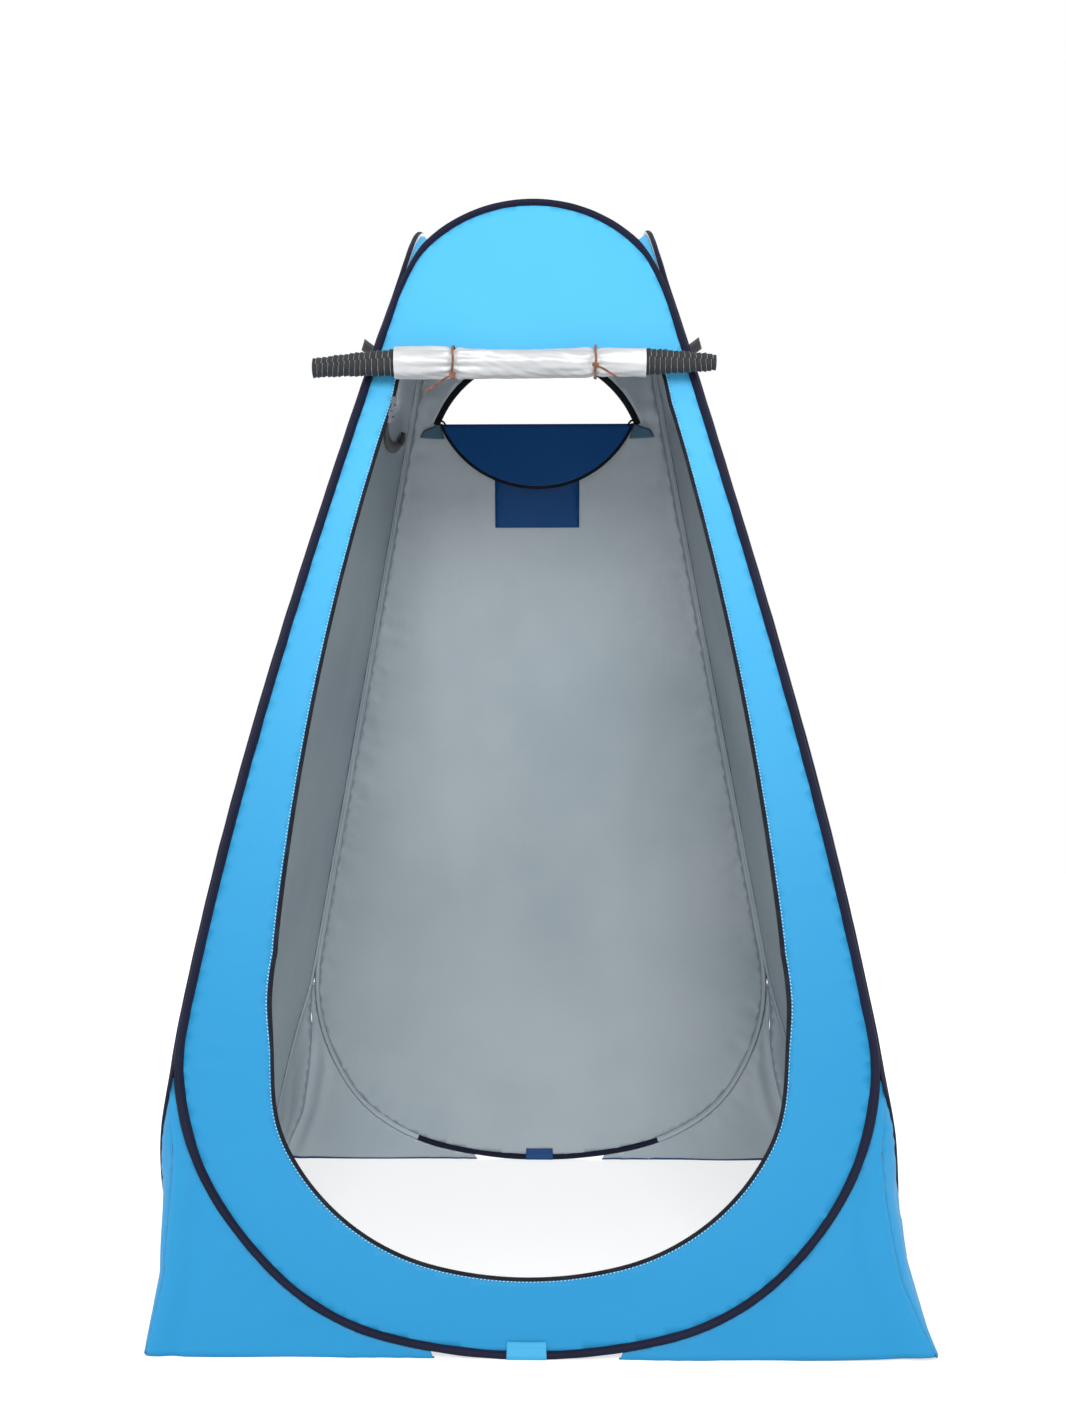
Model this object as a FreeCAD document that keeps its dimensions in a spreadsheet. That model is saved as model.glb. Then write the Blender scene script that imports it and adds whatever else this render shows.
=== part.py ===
import FreeCAD, Part
import math
import os
import Sketcher

# A pop-up privacy tent. Four egg-shaped spring-steel hoops lean in over a square plan, one in each wall.
# Each hoop runs in a cloth sleeve round its wall's edge, neighbours meet at the corner seams, and a cloth
# roof spans the four free arcs at the top. The front wall has a doorway whose door is rolled up above it.
# Front is -Y, up is +Z, and the origin is on the ground at the middle of the plan. Millimetres, degrees.

SIZES = [
    ("hoop_top", 1900), ("base_half", 625), ("top_half", 214.2),
    ("hoop_bottom_radius", 914), ("hoop_corner_radius", 394), ("seam_clearance", 2.57),
    ("sleeve_diameter", 12), ("sleeve_cloth", 1), ("sleeve_mouth", 24), ("cloth", 1), ("sewing_gap", 0.2),
    ("wire_diameter", 3.6), ("wire_end_gap", 2),
    ("ferrule_length", 40), ("ferrule_wall", 1.3), ("ferrule_clearance", 0.1),
    ("tab_length", 61), ("tab_cloth", 1.2), ("tab_clearance", 0.2),
    ("skirt_reach", 250), ("skirt_top", 425), ("skirt_edge", 3),
    ("door_bottom", 123), ("door_bottom_radius", 600), ("door_corner_radius", 360),
    ("door_drop", 300.8), ("door_top_half", 221), ("petal_foot", 104.9), ("door_top_radius", 45),
    ("tape_width", 5.8), ("tape_thickness", 2),
    ("roll_drop", 13), ("roll_radius", 24), ("roll_end_radius", 21.5),
    ("roll_left", 232), ("roll_right", 196), ("roll_gap", 0.3),
    ("coil_left_length", 133), ("coil_right_length", 114), ("coil_root_radius", 22.5),
    ("coil_left_tip_radius", 16), ("coil_right_tip_radius", 13.5),
    ("tie_cord", 4), ("tie_left", 132), ("tie_right", 110), ("tie_clearance", 0.3),
    ("tie_left_tail", 52), ("tie_left_tail_angle", 50), ("tie_right_tail", 34), ("tie_right_tail_angle", 15),
    ("slider_height", 14), ("slider_width", 10), ("slider_depth", 7), ("slider_slot", 2.6),
    ("slider_top_gap", 30), ("slider_clearance", 0.3),
    ("pull_length", 20), ("pull_width", 6), ("pull_thickness", 1.2), ("pull_gap", 0.4), ("pull_parting", 2),
    ("sill_drop", 301.5), ("window_half", 200), ("window_rise", 134), ("window_tape", 13),
    ("flap_clearance", 0.6), ("flap_tape", 8), ("flap_top_gap", 1),
    ("pocket_width", 175), ("pocket_height", 176), ("pocket_depth", 12), ("pocket_drop", 36),
    ("strap_width", 18), ("strap_thickness", 2), ("strap_standoff", 4),
    ("strap_front_across", 65), ("strap_front_drop", 237.8),
    ("strap_bend_across", 32), ("strap_bend_drop", 365.8),
    ("strap_low_across", -95), ("strap_low_drop", 385.8),
    ("strap_rear_across", -212), ("strap_rear_drop", 337.8),
    ("buckle_width", 24), ("buckle_height", 26), ("buckle_thickness", 8),
    ("buckle_across", -170), ("buckle_drop", 362.8),
    ("loop_drop", 275.8), ("loop_webbing", 20), ("loop_reach", 20), ("loop_half", 4),
    ("loop_thickness", 1.5), ("loop_from_edge", 16),
    ("roof_start_drop", 300), ("roof_rim_drop", 20), ("roof_centre_drop", 100), ("roof_gap", 1),
    ("roof_corner_gap", 2), ("roof_cloth", 2), ("roof_centre_half", 30), ("roof_centre_cut", 42),
]

SIDE_YAW = {"front": 0, "right": 90, "back": 180, "left": 270}

doc = FreeCAD.newDocument("shower_tent")
sheet = doc.addObject("Spreadsheet::Sheet", "Sizes")
for row, (alias, value) in enumerate(SIZES, start=1):
    sheet.set(f"A{row}", alias)
    sheet.set(f"B{row}", str(value))
    sheet.setAlias(f"B{row}", alias)
doc.recompute()

nodes = []


# Expressions that several pieces share. WALL_LEAN is in degrees, and EDGE_LEAN is the corner seam's slope
# within a wall's own plane. Heights are measured up the wall, and what hangs near the top is set down
# from the hoop's crown.
WALL_LEAN = "(atan((Sizes.base_half - Sizes.top_half) / Sizes.hoop_top) / 1 deg)"
EDGE_LEAN = f"atan(sin({WALL_LEAN}))"
EDGE_DISTANCE = f"(Sizes.base_half * cos({EDGE_LEAN}))"
HOOP_LOW = (
    f"((Sizes.sleeve_diameter / 2 + Sizes.tab_clearance + Sizes.tab_cloth) / cos({WALL_LEAN}))"
)
HOOP_HIGH = f"((Sizes.hoop_top - Sizes.sleeve_diameter / 2) / cos({WALL_LEAN}))"
SEAM_GAP = "((Sizes.sleeve_diameter + Sizes.seam_clearance) / sqrt(2))"
HOOP_EDGE = f"({EDGE_DISTANCE} - {SEAM_GAP})"
HOOP_TOP_RADIUS = f"(({HOOP_EDGE} - sin({EDGE_LEAN}) * {HOOP_HIGH}) / (1 - sin({EDGE_LEAN})))"
SLEEVE_OUTSIDE = "(Sizes.sleeve_diameter / 2 + Sizes.sewing_gap)"
DOOR_TOP = f"({HOOP_HIGH} - Sizes.door_drop)"
DOOR_FOOT_HALF = f"({HOOP_EDGE} / cos({EDGE_LEAN}) - Sizes.petal_foot)"
DOOR_LEAN = f"atan(({DOOR_FOOT_HALF} - Sizes.door_top_half) / {DOOR_TOP})"
DOOR_EDGE = f"(cos({DOOR_LEAN}) * Sizes.door_top_half + sin({DOOR_LEAN}) * {DOOR_TOP})"
# The doorway's lower corners are fillets, limited to what the doorway's width leaves room for.
FILLET_SHARE = "0.95"
DOOR_CORNER_ROOM = f"(({DOOR_EDGE} - sin({DOOR_LEAN}) * Sizes.door_bottom) / (1 + sin({DOOR_LEAN})))"
DOOR_CORNER = f"min(Sizes.door_corner_radius; {FILLET_SHARE} * {DOOR_CORNER_ROOM})"
ROLL_LEVEL = f"({DOOR_TOP} - Sizes.roll_drop)"
ROLL_STANDOFF = (
    "(Sizes.roll_radius + Sizes.tie_clearance + Sizes.tie_cord "
    "+ Sizes.tape_thickness / 2 + Sizes.sewing_gap)"
)
WINDOW_SILL = f"({HOOP_HIGH} - Sizes.sill_drop)"
LOOP_LEVEL = f"({HOOP_HIGH} - Sizes.loop_drop)"
WINDOW_RADIUS = "((Sizes.window_half ^ 2 + Sizes.window_rise ^ 2) / (2 * Sizes.window_rise))"
WINDOW_CENTRE = f"({WINDOW_SILL} + Sizes.window_rise - {WINDOW_RADIUS})"
INNER_FACE = "(Sizes.cloth / 2 + Sizes.sewing_gap)"
POCKET_TOP = f"({WINDOW_SILL} - Sizes.pocket_drop)"


def worth(expression):
    """The number that an expression on the sheet gives now."""
    value = sheet.evalExpression(str(expression))
    return float(getattr(value, "Value", value))


def wall_place(side, across="0", out="0", up="0", turn="0"):
    """A placement in a wall's own frame: X across, Y inward, Z up the wall, then turned about Y."""
    yaw = SIDE_YAW[side]
    stand = (
        f"create(<<placement>>; create(<<vector>>; Sizes.base_half * sin({yaw}); "
        f"-Sizes.base_half * cos({yaw}); 0); create(<<rotation>>; {yaw}; 0; -{WALL_LEAN}))"
    )
    shift = (
        f"create(<<placement>>; create(<<vector>>; {across}; -({out}); {up}); "
        f"create(<<rotation>>; 0; {turn}; 0))"
    )
    return f"{stand} * {shift}"


def new_body(label, placement):
    body = doc.addObject("PartDesign::Body", label)
    body.Label = label
    body.setExpression("Placement", placement)
    return body


def new_sketch(body, role, name, lift=None):
    """A sketch on one of the body's own origin planes, lifted along the plane's normal."""
    sketch = body.newObject("Sketcher::SketchObject", name)
    plane = next(f for f in body.Origin.OriginFeatures if f.Role == role)
    sketch.AttachmentSupport = (plane, [""])
    sketch.MapMode = "FlatFace"
    if lift is not None:
        sketch.setExpression("AttachmentOffset.Base.z", lift)
    return sketch


def bound(sketch, kind, *what):
    """A driving dimension: the last item is its expression, and its value now comes from that."""
    *where, expression = what
    number = sketch.addConstraint(Sketcher.Constraint(kind, *where, worth(expression)))
    sketch.setExpression(f"Constraints[{number}]", str(expression))


def bound_angle(sketch, line, expression):
    radians = math.radians(worth(expression))
    number = sketch.addConstraint(Sketcher.Constraint("Angle", line, radians))
    sketch.setExpression(f"Constraints[{number}]", expression)


def arc(centre, radius, start, end):
    """An arc counter-clockwise from one angle to another, in degrees."""
    circle = Part.Circle(FreeCAD.Vector(*centre, 0), FreeCAD.Vector(0, 0, 1), radius)
    return Part.ArcOfCircle(circle, math.radians(start), math.radians(end))


def line(start, end):
    return Part.LineSegment(FreeCAD.Vector(*start, 0), FreeCAD.Vector(*end, 0))


def egg_loop(sketch, low, low_radius, corner_radius, lean, edge, top_radius, high, flat_top=None):
    """A closed egg outline, symmetric about the upright axis: a wide arc at the bottom, two corner arcs,
    two straight leaning sides, and either one arc over the top or, with flat_top, two small arcs and
    a straight top edge. Every value is an expression, so an offset copy shares the same centres."""
    bottom = worth(low)
    wide = worth(low_radius)
    small = worth(corner_radius)
    slope = worth(lean)
    reach = worth(edge)
    crown = worth(top_radius)
    radians = math.radians(slope)
    swing = slope + math.degrees(
        math.asin((reach - small - math.sin(radians) * bottom) / (wide - small))
    )
    corner = (
        (wide - small) * math.sin(math.radians(swing)),
        bottom - (wide - small) * math.cos(math.radians(swing)),
    )
    if flat_top is None:
        crown_centre = (0.0, (reach - crown) / math.sin(radians))
    else:
        level = worth(flat_top) - crown
        crown_centre = ((reach - crown - math.sin(radians) * level) / math.cos(radians), level)
    normal = (math.cos(radians), math.sin(radians))
    foot = (corner[0] + small * normal[0], corner[1] + small * normal[1])
    head = (crown_centre[0] + crown * normal[0], crown_centre[1] + crown * normal[1])

    first = sketch.GeometryCount
    shapes = [
        arc((0.0, bottom), wide, -90, swing - 90),
        arc(corner, small, swing - 90, slope),
        line(foot, head),
    ]
    if flat_top is None:
        shapes += [arc(crown_centre, crown, slope, 180 - slope)]
    else:
        shapes += [
            arc(crown_centre, crown, slope, 90),
            line((crown_centre[0], level + crown), (-crown_centre[0], level + crown)),
            arc((-crown_centre[0], level), crown, 90, 180 - slope),
        ]
    shapes += [
        line((-foot[0], foot[1]), (-head[0], head[1])),
        arc((-corner[0], corner[1]), small, 180 - slope, 270 - swing),
        arc((0.0, bottom), wide, 270 - swing, 270),
    ]
    sketch.addGeometry(shapes, False)
    low_right = first
    corner_right = first + 1
    side_right = first + 2
    crown_right = first + 3
    crown_left = crown_right if flat_top is None else first + 5
    side_left = crown_left + 1
    corner_left = side_left + 1
    low_left = corner_left + 1

    joins = [
        (low_right, 2, corner_right, 1),
        (corner_right, 2, side_right, 1),
        (side_right, 2, crown_right, 1),
        (crown_left, 2, side_left, 2),
        (side_left, 1, corner_left, 1),
        (corner_left, 2, low_left, 1),
    ]
    if flat_top is not None:
        joins += [
            (crown_right, 2, first + 4, 1),
            (first + 4, 2, crown_left, 1),
        ]
    for join in joins:
        sketch.addConstraint(Sketcher.Constraint("Tangent", *join))
    sketch.addConstraint(Sketcher.Constraint("Coincident", low_left, 2, low_right, 1))
    sketch.addConstraint(Sketcher.Constraint("Coincident", low_left, 3, low_right, 3))
    sketch.addConstraint(Sketcher.Constraint("PointOnObject", low_right, 3, -2))
    sketch.addConstraint(Sketcher.Constraint("PointOnObject", low_right, 1, -2))
    bound(sketch, "DistanceY", -1, 1, low_right, 3, low)
    bound(sketch, "Radius", low_right, low_radius)
    bound(sketch, "Radius", corner_right, corner_radius)
    bound(sketch, "Radius", corner_left, corner_radius)
    bound(sketch, "Distance", -1, 1, side_right, edge)
    bound(sketch, "Distance", -1, 1, side_left, edge)
    bound_angle(sketch, side_right, f"90 deg + {lean}")
    bound_angle(sketch, side_left, f"90 deg - {lean}")
    bound(sketch, "Radius", crown_right, top_radius)
    if flat_top is not None:
        bound(sketch, "Radius", crown_left, top_radius)
        bound(sketch, "DistanceY", -1, 1, first + 4, 1, flat_top)


def hoop_loop(sketch, inset="0"):
    """The hoop's centre line in its wall's plane, or a copy that lies inset inside it."""
    egg_loop(
        sketch,
        f"{HOOP_LOW} + Sizes.hoop_bottom_radius",
        f"Sizes.hoop_bottom_radius - ({inset})",
        f"Sizes.hoop_corner_radius - ({inset})",
        EDGE_LEAN,
        f"{HOOP_EDGE} - ({inset})",
        f"{HOOP_TOP_RADIUS} - ({inset})",
        HOOP_HIGH,
    )


def door_loop(sketch, outset="0"):
    """The doorway's outline at the inner edge of its zip tape, or a copy that lies outset outside it."""
    egg_loop(
        sketch,
        "Sizes.door_bottom + Sizes.door_bottom_radius",
        f"Sizes.door_bottom_radius + ({outset})",
        f"{DOOR_CORNER} + ({outset})",
        DOOR_LEAN,
        f"{DOOR_EDGE} + ({outset})",
        f"Sizes.door_top_radius + ({outset})",
        DOOR_TOP,
        flat_top=f"{DOOR_TOP} + ({outset})",
    )


def chain(sketch, points):
    """A closed run of straight lines through points, each point's two distances bound to its expressions."""
    corners = [(worth(x), worth(y)) for x, y in points]
    first = sketch.GeometryCount
    ends = corners[1:] + corners[:1]
    sketch.addGeometry([line(a, b) for a, b in zip(corners, ends)], False)
    count = len(ends)
    for step in range(count):
        following = first + (step + 1) % count
        sketch.addConstraint(Sketcher.Constraint("Coincident", first + step, 2, following, 1))
    for step, (x, y) in enumerate(points):
        bound(sketch, "DistanceX", -1, 1, first + step, 1, x)
        bound(sketch, "DistanceY", -1, 1, first + step, 1, y)


def block(sketch, left, right, low, high):
    """A rectangle between two distances across and two distances up."""
    chain(sketch, [(left, low), (right, low), (right, high), (left, high)])


def ring(sketch, x, y, radius):
    """One full circle, its centre and radius bound."""
    centre = FreeCAD.Vector(worth(x), worth(y), 0)
    circle = Part.Circle(centre, FreeCAD.Vector(0, 0, 1), worth(radius))
    number = sketch.addGeometry(circle, False)
    bound(sketch, "DistanceX", -1, 1, number, 3, x)
    bound(sketch, "DistanceY", -1, 1, number, 3, y)
    bound(sketch, "Radius", number, radius)


def axis_line(sketch, y):
    """A level construction line, two skirt reaches long, to turn a profile about."""
    level = worth(y)
    reach = worth("Sizes.skirt_reach")
    number = sketch.addGeometry(line((-reach, level), (reach, level)), True)
    sketch.addConstraint(Sketcher.Constraint("Horizontal", number))
    bound(sketch, "DistanceY", -1, 1, number, 1, y)
    bound(sketch, "DistanceX", -1, 1, number, 1, "-Sizes.skirt_reach")
    bound(sketch, "DistanceX", number, 1, number, 2, "Sizes.skirt_reach * 2")


def padded(body, sketch, length, both_ways=False, backwards=False):
    pad = body.newObject("PartDesign::Pad", sketch.Name + "_pad")
    pad.Profile = sketch
    pad.setExpression("Length", length)
    if both_ways:
        pad.SideType = "Symmetric"
    pad.Reversed = backwards
    return pad


def carved(body, sketch, length, both_ways=False):
    """A pocket that has to take something away."""
    doc.recompute()
    before = body.Shape.Volume
    cut = body.newObject("PartDesign::Pocket", sketch.Name + "_cut")
    cut.Profile = sketch
    cut.setExpression("Length", length)
    if both_ways:
        cut.SideType = "Symmetric"
    doc.recompute()
    if not body.Shape.Volume < before - 1:
        raise RuntimeError(f"{body.Label}: the cut {sketch.Name} takes nothing away")
    return cut


def keep(thing, label=None):
    """Notes an object of the document as a finished piece, to be written under its label."""
    if label is not None:
        thing.Label = label
    nodes.append(thing)
    return thing


# The steel hoops, each one bent from a single wire whose ends butt inside a crimped ferrule at the foot.
def piped(body, tag, radius, kind="Additive"):
    """A round rod, or with Subtractive a bore, swept along the whole hoop."""
    path = new_sketch(body, "XZ_Plane", tag + "_path")
    hoop_loop(path)
    section = new_sketch(body, "YZ_Plane", tag + "_section")
    ring(section, "0", HOOP_LOW, radius)
    doc.recompute()
    pipe = body.newObject(f"PartDesign::{kind}Pipe", tag + "_pipe")
    pipe.Profile = section
    pipe.Spine = (path, [])
    pipe.Mode = "Frenet"


def bent_tube(side, label, length, outer, inner):
    """A short tube bent along the foot of the hoop, centred on the wire's joint."""
    body = new_body(label, wall_place(side))
    section = new_sketch(body, "YZ_Plane", label + "_section")
    ring(section, "0", HOOP_LOW, outer)
    ring(section, "0", HOOP_LOW, inner)
    axis_line(section, f"{HOOP_LOW} + Sizes.hoop_bottom_radius")
    turn = body.newObject("PartDesign::Revolution", label + "_turn")
    turn.Profile = section
    turn.ReferenceAxis = (section, ["Axis0"])
    turn.setExpression("Angle", f"({length}) / Sizes.hoop_bottom_radius * 180 / pi")
    turn.Midplane = True
    return keep(body)


def foot_gap(body, length, thickness):
    """Parts a hoop's ring at the middle of its foot."""
    gap = new_sketch(body, "XZ_Plane", body.Label + "_foot_gap")
    block(
        gap,
        f"-{length} / 2",
        f"{length} / 2",
        f"{HOOP_LOW} - {thickness}",
        f"{HOOP_LOW} + {thickness}",
    )
    carved(body, gap, f"{thickness} * 2", both_ways=True)


for side in SIDE_YAW:
    wire = new_body(f"{side}_hoop_wire", wall_place(side))
    piped(wire, f"{side}_wire", "Sizes.wire_diameter / 2")
    foot_gap(wire, "Sizes.wire_end_gap", "Sizes.wire_diameter")
    keep(wire)

    bore = "(Sizes.wire_diameter / 2 + Sizes.ferrule_clearance)"
    bent_tube(side, f"{side}_wire_ferrule", "Sizes.ferrule_length", f"{bore} + Sizes.ferrule_wall", bore)

    sleeve = new_body(f"{side}_hoop_sleeve", wall_place(side))
    outside = "Sizes.sleeve_diameter / 2"
    piped(sleeve, f"{side}_sleeve", outside)
    piped(sleeve, f"{side}_sleeve_bore", f"{outside} - Sizes.sleeve_cloth", kind="Subtractive")
    foot_gap(sleeve, "Sizes.sleeve_mouth", "Sizes.sleeve_diameter")
    keep(sleeve)

    # The tab is folded up round the sleeve's mouth, and its two edges straddle the wall's cloth.
    inside = f"({outside} + Sizes.tab_clearance)"
    tab = bent_tube(
        side, f"{side}_joint_tab", "Sizes.tab_length", f"{inside} + Sizes.tab_cloth", inside
    )
    straddle = new_sketch(tab, "XZ_Plane", f"{side}_tab_straddle")
    block(
        straddle,
        "-Sizes.tab_length",
        "Sizes.tab_length",
        f"{HOOP_LOW} + Sizes.sleeve_cloth",
        f"{HOOP_LOW} + Sizes.sleeve_diameter",
    )
    carved(tab, straddle, "Sizes.cloth + Sizes.sewing_gap * 2", both_ways=True)


# The cloth walls, cut to the inside of their sleeves. The front one has the doorway and the back one
# the window.
def bow_loop(sketch, base, centre, radius, upward=1):
    """A D shape: a straight edge at height base and an arc round a centre on the upright axis."""
    level = worth(base)
    middle = worth(centre)
    size = worth(radius)
    half = math.sqrt(size**2 - (level - middle) ** 2)
    turn = math.degrees(math.atan2(level - middle, half))
    if upward > 0:
        curve = arc((0, middle), size, turn, 180 - turn)
        edge = line((-half, level), (half, level))
    else:
        curve = arc((0, middle), size, 180 - turn, 360 + turn)
        edge = line((half, level), (-half, level))
    first = sketch.GeometryCount
    sketch.addGeometry([curve, edge], False)
    sketch.addConstraint(Sketcher.Constraint("Coincident", first, 2, first + 1, 1))
    sketch.addConstraint(Sketcher.Constraint("Coincident", first + 1, 2, first, 1))
    sketch.addConstraint(Sketcher.Constraint("Horizontal", first + 1))
    sketch.addConstraint(Sketcher.Constraint("PointOnObject", first, 3, -2))
    bound(sketch, "DistanceY", -1, 1, first, 3, centre)
    bound(sketch, "DistanceY", -1, 1, first + 1, 1, base)
    bound(sketch, "Radius", first, radius)


def band_loop(sketch, base, centre, outer, inner, upward=1):
    """The outline of a curved band between two arcs with one centre, cut off level at height base."""
    level = worth(base)
    middle = worth(centre)
    ends = []
    for radius in (worth(outer), worth(inner)):
        half = math.sqrt(radius**2 - (level - middle) ** 2)
        ends.append((radius, half, math.degrees(math.atan2(level - middle, half))))
    first = sketch.GeometryCount
    curves = []
    for radius, half, turn in ends:
        if upward > 0:
            curves.append(arc((0, middle), radius, turn, 180 - turn))
        else:
            curves.append(arc((0, middle), radius, 180 - turn, 360 + turn))
    right_pos = 1 if upward > 0 else 2
    left_pos = 3 - right_pos
    caps = [
        line((ends[0][1], level), (ends[1][1], level)),
        line((-ends[0][1], level), (-ends[1][1], level)),
    ]
    sketch.addGeometry(curves + caps, False)
    for cap, position in ((first + 2, right_pos), (first + 3, left_pos)):
        sketch.addConstraint(Sketcher.Constraint("Coincident", first, position, cap, 1))
        sketch.addConstraint(Sketcher.Constraint("Coincident", first + 1, position, cap, 2))
        sketch.addConstraint(Sketcher.Constraint("Horizontal", cap))
        bound(sketch, "DistanceY", -1, 1, cap, 1, base)
    sketch.addConstraint(Sketcher.Constraint("PointOnObject", first, 3, -2))
    sketch.addConstraint(Sketcher.Constraint("Coincident", first, 3, first + 1, 3))
    bound(sketch, "DistanceY", -1, 1, first, 3, centre)
    bound(sketch, "Radius", first, outer)
    bound(sketch, "Radius", first + 1, inner)


for side in SIDE_YAW:
    wall = new_body(f"{side}_wall_panel", wall_place(side))
    outline = new_sketch(wall, "XZ_Plane", f"{side}_panel_outline")
    hoop_loop(outline, SLEEVE_OUTSIDE)
    if side == "front":
        door_loop(outline, "Sizes.tape_width + Sizes.sewing_gap")
    if side == "back":
        taped = f"{WINDOW_RADIUS} + Sizes.window_tape + Sizes.sewing_gap"
        bow_loop(outline, WINDOW_SILL, WINDOW_CENTRE, taped)
    padded(wall, outline, "Sizes.cloth", both_ways=True)
    keep(wall)


# The corner skirts fill the space under the hoops' round lower corners, down to the ground. Each one is
# folded at the corner, and its two leaves lie in the planes of the two walls that meet there.
ground = doc.addObject("Part::Box", "GroundCutter")
ground.setExpression("Length", "Sizes.base_half * 4")
ground.setExpression("Width", "Sizes.base_half * 4")
ground.setExpression("Height", "Sizes.base_half")
ground.setExpression(
    "Placement",
    "create(<<placement>>; create(<<vector>>; -Sizes.base_half * 2; -Sizes.base_half * 2; "
    "-Sizes.base_half); create(<<rotation>>; 0; 0; 0))",
)
NEIGHBOURS = {
    "front": ("left", "right"),
    "right": ("front", "back"),
    "back": ("right", "left"),
    "left": ("back", "front"),
}


def skirt_leaf(side, direction):
    neighbour = NEIGHBOURS[side][0 if direction < 0 else 1]
    label = f"{side}_skirt_by_{neighbour}"
    body = new_body(label + "_blank", wall_place(side))
    blank = new_sketch(body, "XZ_Plane", label + "_blank_outline")
    edge = f"(Sizes.base_half - Sizes.skirt_edge / cos({EDGE_LEAN}))"
    below = "-Sizes.cloth * 3"
    chain(
        blank,
        [
            (f"{direction} * Sizes.skirt_reach", below),
            (f"{direction} * ({edge} - ({below}) * tan({EDGE_LEAN}))", below),
            (f"{direction} * ({edge} - Sizes.skirt_top * tan({EDGE_LEAN}))", "Sizes.skirt_top"),
        ],
    )
    padded(body, blank, "Sizes.cloth", both_ways=True)
    hole = new_sketch(body, "XZ_Plane", label + "_hoop")
    hoop_loop(hole, f"-{SLEEVE_OUTSIDE}")
    carved(body, hole, "Sizes.cloth * 4", both_ways=True)
    leaf = doc.addObject("Part::Cut", label)
    leaf.Base = body
    leaf.Tool = ground
    return keep(leaf, label)


for side in SIDE_YAW:
    skirt_leaf(side, -1)
    skirt_leaf(side, 1)


# The door: its zip tape round the doorway, and the door cloth rolled up above it with the tape's two
# ends wound into tapered coils.
tape = new_body("door_zip_tape", wall_place("front"))
tape_outline = new_sketch(tape, "XZ_Plane", "tape_outline")
door_loop(tape_outline, "Sizes.tape_width")
door_loop(tape_outline)
padded(tape, tape_outline, "Sizes.tape_thickness", both_ways=True)
keep(tape)


def turned(label, corners):
    """A solid turned about the roll's level axis, from (across, radius) corners."""
    body = new_body(label, wall_place("front"))
    half = new_sketch(body, "XZ_Plane", label + "_half", lift=ROLL_STANDOFF)
    chain(half, [(x, f"{ROLL_LEVEL} + {radius}") for x, radius in corners])
    axis_line(half, ROLL_LEVEL)
    turn = body.newObject("PartDesign::Revolution", label + "_turn")
    turn.Profile = half
    turn.ReferenceAxis = (half, ["Axis0"])
    turn.Angle = 360
    return keep(body)


turned(
    "door_roll",
    [
        ("-Sizes.roll_left", "0"),
        ("-Sizes.roll_left", "Sizes.roll_end_radius"),
        ("-Sizes.tie_left", "Sizes.roll_radius"),
        ("Sizes.tie_right", "Sizes.roll_radius"),
        ("Sizes.roll_right", "Sizes.roll_end_radius"),
        ("Sizes.roll_right", "0"),
    ],
)
for hand, sign in (("left", -1), ("right", 1)):
    root = f"{sign} * (Sizes.roll_{hand} + Sizes.roll_gap)"
    tip = f"{sign} * (Sizes.roll_{hand} + Sizes.roll_gap + Sizes.coil_{hand}_length)"
    turned(
        f"door_zip_coil_{hand}",
        [
            (root, "0"),
            (root, "Sizes.coil_root_radius"),
            (tip, f"Sizes.coil_{hand}_tip_radius"),
            (tip, "0"),
        ],
    )
    # A cord tie loops round the roll and is sewn to the wall above it, with one loose tail in front.
    centre = f"({sign} * Sizes.tie_{hand})"
    orbit = "(Sizes.roll_radius + Sizes.tie_clearance + Sizes.tie_cord / 2)"
    loop = new_body(f"tie_{hand}_loop", wall_place("front"))
    section = new_sketch(loop, "XZ_Plane", f"tie_{hand}_section", lift=ROLL_STANDOFF)
    ring(section, centre, f"{ROLL_LEVEL} + {orbit}", "Sizes.tie_cord / 2")
    axis_line(section, ROLL_LEVEL)
    turn = loop.newObject("PartDesign::Revolution", f"tie_{hand}_turn")
    turn.Profile = section
    turn.ReferenceAxis = (section, ["Axis0"])
    turn.Angle = 360
    tail = doc.addObject("Part::Cylinder", f"tie_{hand}_tail")
    tail.setExpression("Radius", "Sizes.tie_cord / 2")
    tail.setExpression("Height", f"Sizes.tie_{hand}_tail")
    tail.setExpression(
        "Placement",
        wall_place(
            "front",
            centre,
            f"{ROLL_STANDOFF} + {orbit}",
            ROLL_LEVEL,
            f"{sign} * (90 + Sizes.tie_{hand}_tail_angle)",
        ),
    )
    tie = doc.addObject("Part::Fuse", f"roll_tie_{hand}")
    tie.Base = loop
    tie.Tool = tail
    keep(tie, f"roll_tie_{hand}")


# Two zip sliders wait at the top of the doorway's left side, back to back, each with a pull tab.
def on_door_side(down):
    """A placement on the straight left side of the door's zip, down from its top end, turned with it."""
    along = f"({DOOR_TOP} - Sizes.door_top_radius - ({down}))"
    x = f"(-(Sizes.door_top_half + ({DOOR_TOP} - {along}) * tan({DOOR_LEAN})))"
    return wall_place("front", x, up=along, turn=f"({DOOR_LEAN} / 1 deg)")


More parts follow.
